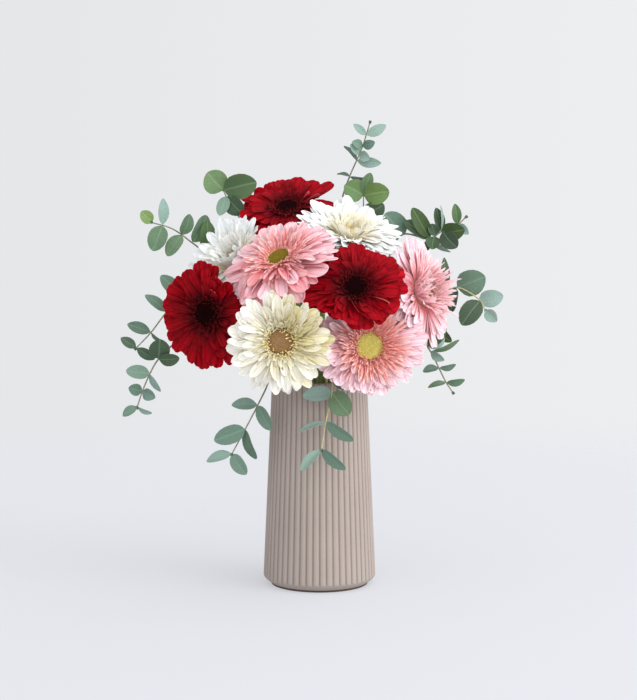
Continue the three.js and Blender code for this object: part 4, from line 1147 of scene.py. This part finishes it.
def spray_groups(name, mouth, route, leaves, chance):
    """A twig, its leaves and the two at its tip."""
    points = way_through_vase(mouth, TWIG_RING) + [np.array(p, float) for p in route]
    last = len(points) - 1
    line = along_curve(points, np.linspace(0, last, last * TWIG_STEPS + 1))
    stations = [MOUTH, LEAVING, len(line) - 1]
    radii = np.interp(np.arange(len(line)), stations, [TWIG_RADIUS, TWIG_ABOVE, TWIG_TIP])
    twig = draw_stalk(line, radii, 8)
    groups = [copies(twig, twig["points"][None], 0, 1 if name in YELLOW_TWIGS else 0.1, slot=1)]
    for place, x, y, z, width, roll, look in leaves:
        base = along_curve(points, [3 + place])[0]  # the way through the vase has three points
        blade, spots = laid_leaf(base, np.array([x, y, z], float), width, roll, chance)
        green, tone = LOOKS[look]
        tone = tone + chance.normal(0, 0.15)
        green = np.clip(green + chance.normal(0, 0.08), 0, 1)
        groups.append(copies(blade, spots[None], tone, green))
    ahead = points[-1] - points[-2]
    ahead /= np.linalg.norm(ahead)
    for side in (-1, 1):
        to_tip = ahead * 4 + np.cross(ahead, [0, 1, 0]) * side * 1.1
        blade, spots = laid_leaf(points[-1] - ahead, to_tip, 2.4, 15 * side, chance)
        groups.append(copies(blade, spots[None], -0.5, 0.6))
    return groups


for number, (name, (mouth, route, leaves)) in enumerate(SPRAYS.items()):
    groups = spray_groups(name, mouth, route, leaves, np.random.default_rng(300 + number))
    spray = build(f"spray_{name}", groups, [LEAF_FINISH, TWIG_FINISH], f"eucalyptus_{name}")
    print(spray.name, len(spray.data.polygons), "faces")

# %% [markdown]
# ## The vase
# The vase is stoneware, cast in a mould and fired without a shiny glaze. Its ribs are shallow arcs
# about 6.6 mm wide, with a narrow groove between them, and run out on a smooth, slanting heel. It
# stands on a low foot, which shows as a thin dark line under it: partly its own shadow, partly painted
# shadow on the foot. It is drawn as a potter would: one circle goes up the wall, over the rim and
# down inside. Then the ribs are pressed in.

# %% Turn the vase
RIBS, PER_RIB = 52, 12
HIP_RADIUS, HIP_HEIGHT, RIM_RADIUS = 56.4, 8, 47.6
RIB_DEPTH, WALL, FLOOR = 1.15, 4.6, 7


def wall_radius(height):
    share = (height - HIP_HEIGHT) / (RIM_HEIGHT - HIP_HEIGHT)
    return HIP_RADIUS + (RIM_RADIUS - HIP_RADIUS) * share


foot = [(47.9, 0), (48.5, 0.2), (48.7, 1.2), (48.8, 1.9), (49.6, 2.3)]
heel = [(54.3, 5.9), (54.9, 6.5), (55.2, 6.9), (55.8, 7.5), (56.2, 8.2)]
side = [(wall_radius(z), z) for z in (9.2, 11.5, 13.5, 60, 110, 160, 198, 200, 201.5, 202.5)]
lip = [(RIM_RADIUS - 0.25, 203.9), (RIM_RADIUS - 0.9, 204.7), (RIM_RADIUS - 1.8, 205),
       (RIM_RADIUS - 2.8, 205), (RIM_RADIUS - 3.7, 204.7), (RIM_RADIUS - 4.35, 203.9),
       (wall_radius(202) - WALL, 202)]
inside = [(wall_radius(z) - WALL, z) for z in (150, 80, 14)]
inside += [(wall_radius(12) - WALL - 1.6, 8.6), (wall_radius(8) - WALL - 5, FLOOR), (20, FLOOR), (1, FLOOR)]
profile = foot + heel + side + lip + inside
bpy.ops.mesh.primitive_circle_add(vertices=RIBS * PER_RIB, radius=profile[0][0], fill_type="NOTHING")
vase = bpy.context.object
bpy.ops.object.mode_set(mode="EDIT")
draw_up(profile)
bpy.ops.mesh.merge(type="CENTER")
# The first ring is drawn inwards to the middle too, so that the foot is closed and flat.
choose(lambda x, y, z: abs(z) < 1e-3 and math.hypot(x, y) > 45)
bpy.ops.mesh.extrude_region_move(TRANSFORM_OT_translate={"value": (0, 0, 0)})
bpy.ops.transform.resize(value=(0.4, 0.4, 1), center_override=(0, 0, 0))
bpy.ops.mesh.extrude_region_move(TRANSFORM_OT_translate={"value": (0, 0, 0)})
bpy.ops.mesh.merge(type="CENTER")
print("turned", len(profile), "rings")

# %% [markdown]
# A rib is an arc: its ends lie 1.15 mm deeper than its middle. All points with the same place within
# their rib are chosen together and drawn in towards the axis.

# %% Press in the ribs
RIB_WIDTH = 6.6
MEAN_RADIUS = 52
RIBBED = 1.2  # how far in from the wall the pressed surface reaches
# Bands of the wall and how much of the depth each has: it runs out at the heel and under the rim.
BANDS = ((8.7, 199, 1), (7.9, 8.7, 0.85), (7.2, 7.9, 0.5), (199, 200.8, 0.72), (200.8, 202, 0.3))
rib_arc = ((RIB_WIDTH / 2) ** 2 + RIB_DEPTH**2) / (2 * RIB_DEPTH)


def rib_place(x, y):
    return round(math.atan2(y, x) / math.tau * RIBS * PER_RIB) % PER_RIB


for low, high, share in BANDS:
    for place in range(PER_RIB):
        across = abs(2 * place / PER_RIB - 1) * RIB_WIDTH / 2
        depth = (rib_arc - math.sqrt(rib_arc**2 - across**2)) * share
        if depth < 0.02:
            continue
        choose(
            lambda x, y, z: low < z < high
            and math.hypot(x, y) > wall_radius(z) - RIBBED
            and rib_place(x, y) == place
        )
        factor = 1 - depth / MEAN_RADIUS
        bpy.ops.transform.resize(value=(factor, factor, 1), center_override=(0, 0, 0))
bpy.ops.mesh.select_all(action="SELECT")
bpy.ops.transform.resize(value=(MM, MM, MM), center_override=(0, 0, 0))
close_up()
bpy.ops.object.shade_smooth_by_angle(angle=math.radians(40))
vase.name = "ribbed_vase"
print("vase", len(vase.data.polygons), "faces", [round(v, 4) for v in vase.dimensions])

# %% [markdown]
# ## Stoneware and water
# Unglazed stoneware is dull and slightly rough, like fine sandpaper, with a scatter of darker and
# lighter grains in the clay. Painted shade darkens the grooves, and the foot is painted dark as the
# shadow line under the vase.

# %% Clay
clay, tree, surface = new_material("matt_taupe_stoneware")
place = add_node(tree, "TexCoord", out="Object")
grain = add_node(tree, "TexNoise", {"Vector": place, "Scale": 1 / (0.8 * MM), "Detail": 4})
cloud = add_node(tree, "TexNoise", {"Vector": place, "Scale": 1 / (60 * MM), "Detail": 2})
colour = add_node(tree, "ValToRGB", {"Fac": cloud}, stops=[(0.3, "#A2968E"), (0.7, "#A89C94")])
speck = add_node(tree, "MapRange", {"Value": grain, 1: 0.35, 2: 0.65, 3: 0.95, 4: 1.04})
colour = add_node(tree, "Mix", {0: 1, 6: colour, 7: speck}, **TINT)
x, y, z = (add_node(tree, "SeparateXYZ", {0: place}, out=axis) for axis in range(3))
turn = add_node(tree, "Math", {0: y, 1: x}, operation="ARCTAN2")
turn = add_node(tree, "Math", {0: turn, 1: RIBS}, operation="MULTIPLY")
painted_groove_shade = add_node(tree, "Math", {0: turn}, operation="COSINE")  # 1 in a groove, -1 on a rib
# Painted shade: the grooves are darkened, above the heel.
painted_groove_shade = add_node(tree, "ValToRGB", {"Fac": painted_groove_shade}, stops=[(0.3, "#FFFFFF"), (1, "#DED6D0")])
above = add_node(tree, "MapRange", {"Value": z, 1: 6.5 * MM, 2: 8 * MM})
colour = add_node(tree, "Mix", {0: above, 6: colour, 7: painted_groove_shade}, **TINT)
# Painted shadow: the foot, below about 2 mm, is dark, as the shadow line under the vase.
painted_foot_shadow = add_node(tree, "MapRange", {"Value": z, 1: 2.0 * MM, 2: 2.4 * MM, 3: 1, 4: 0})
colour = add_node(tree, "Mix", {0: painted_foot_shadow, 6: colour, 7: linear("#4E4038")}, **BLEND)
bump = add_node(tree, "Bump", {"Height": grain, "Strength": 0.35, "Distance": 0.15 * MM})
finish = {"Base Color": colour, "Normal": bump, "Roughness": 0.8, "IOR": 1.5, "Specular IOR Level": 0.3}
set_sockets(tree, surface, finish)
vase.data.materials.append(clay)
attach(vase, "root")
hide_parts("vase")
print(clay.name)

# %% [markdown]
# The water is hardly seen between the stems, but it is there: clear, a little green from the stems,
# with a faint ripple.

# %% Water
still_water, tree, surface = new_material("still_water")
place = add_node(tree, "TexCoord", out="Object")
ripple = add_node(tree, "TexNoise", {"Vector": place, "Scale": 1 / (25 * MM), "Detail": 1})
bump = add_node(tree, "Bump", {"Height": ripple, "Strength": 0.2, "Distance": 1 * MM})
clear = {"Base Color": linear("#E4F0EA"), "Roughness": 0.03, "IOR": 1.333, "Transmission Weight": 1}
set_sockets(tree, surface, {"Normal": bump, **clear})
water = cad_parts["water"]
water.data.materials.clear()
water.data.materials.append(still_water)

# %% [markdown]
# ## Floor and light
# The set is a plain pale floor that runs out into an even, pale surround. A large soft window of
# light stands at the front right, high up, and the surround glows most on that side. It lights the
# right of the vase, draws out its ribs, and leaves a faint shadow at the back left.

# %% Floor
bpy.ops.mesh.primitive_circle_add(vertices=96, radius=2.2, fill_type="NGON")
floor = bpy.context.object
floor.name = "floor"
paper, tree, surface = new_material("matt_paper_floor")
place = add_node(tree, "TexCoord", out="Object")
away = add_node(tree, "VectorMath", {0: place}, out="Value", operation="LENGTH")
fade = add_node(tree, "MapRange", {"Value": away, 1: 0.4, 2: 1.9}, interpolation_type="SMOOTHERSTEP")
# It is lit from below too, so shadows stay faint.
glow = {"Emission Color": linear("#AEAFB3"), "Emission Strength": 1}
matt = {"Base Color": linear("#929295"), "Roughness": 0.9, "Specular IOR Level": 0.1}
set_sockets(tree, surface, {**matt, **glow})
clear = add_node(tree, "BsdfTransparent")
blend = add_node(tree, "MixShader", {0: fade, 1: surface.outputs[0], 2: clear})
tree.links.new(blend, tree.nodes["Material Output"].inputs["Surface"])
floor.data.materials.append(paper)
print("floor", floor.dimensions.x, "m across")

# %% [markdown]
# The surround that the lens sees is a pale grey, a little lighter on the right. The light that it
# gives the flowers is another matter: it comes mostly from the front right, above.

# %% Surround and window light
scene = bpy.context.scene
scene.world = bpy.data.worlds.new("pale_surround")
scene.world.use_nodes = True
tree = scene.world.node_tree
way = add_node(tree, "TexCoord", out="Generated")
rightward = add_node(tree, "SeparateXYZ", {0: way}, out=0)
wall = add_node(tree, "MapRange", {"Value": rightward, 1: -0.18, 2: 0.18})
wall = add_node(tree, "ValToRGB", {"Fac": wall}, stops=[(0, "#E5E7E9"), (1, "#EDEEF0")])
toward = add_node(tree, "VectorMath", {0: way, 1: (0.72, -0.66, 0.2)}, out="Value", operation="DOT_PRODUCT")
glow = add_node(tree, "MapRange", {"Value": toward, 1: -1, 2: 1, 3: 0.36, 4: 2.05})
seen = add_node(tree, "LightPath", out="Is Camera Ray")
colour = add_node(tree, "Mix", {0: seen, 6: linear("#F2F4F8"), 7: wall}, **BLEND)
strength = add_node(tree, "Mix", {0: seen, 2: glow, 3: 1.0})
set_sockets(tree, tree.nodes["Background"], {"Color": colour, "Strength": strength})
LIGHT_PLACE = Vector((1.9, -1.1, 1.3))
LIT_PLACE = Vector((0, 0, 0.25))
bpy.ops.object.light_add(type="AREA", location=LIGHT_PLACE)
key = bpy.context.object
key.data.size = 1.6
key.data.energy = 22
key.rotation_euler = (LIT_PLACE - LIGHT_PLACE).to_track_quat("-Z", "Y").to_euler()
key.visible_camera = False
scene.view_settings.view_transform = "Standard"
print("key light", key.data.energy, "W")
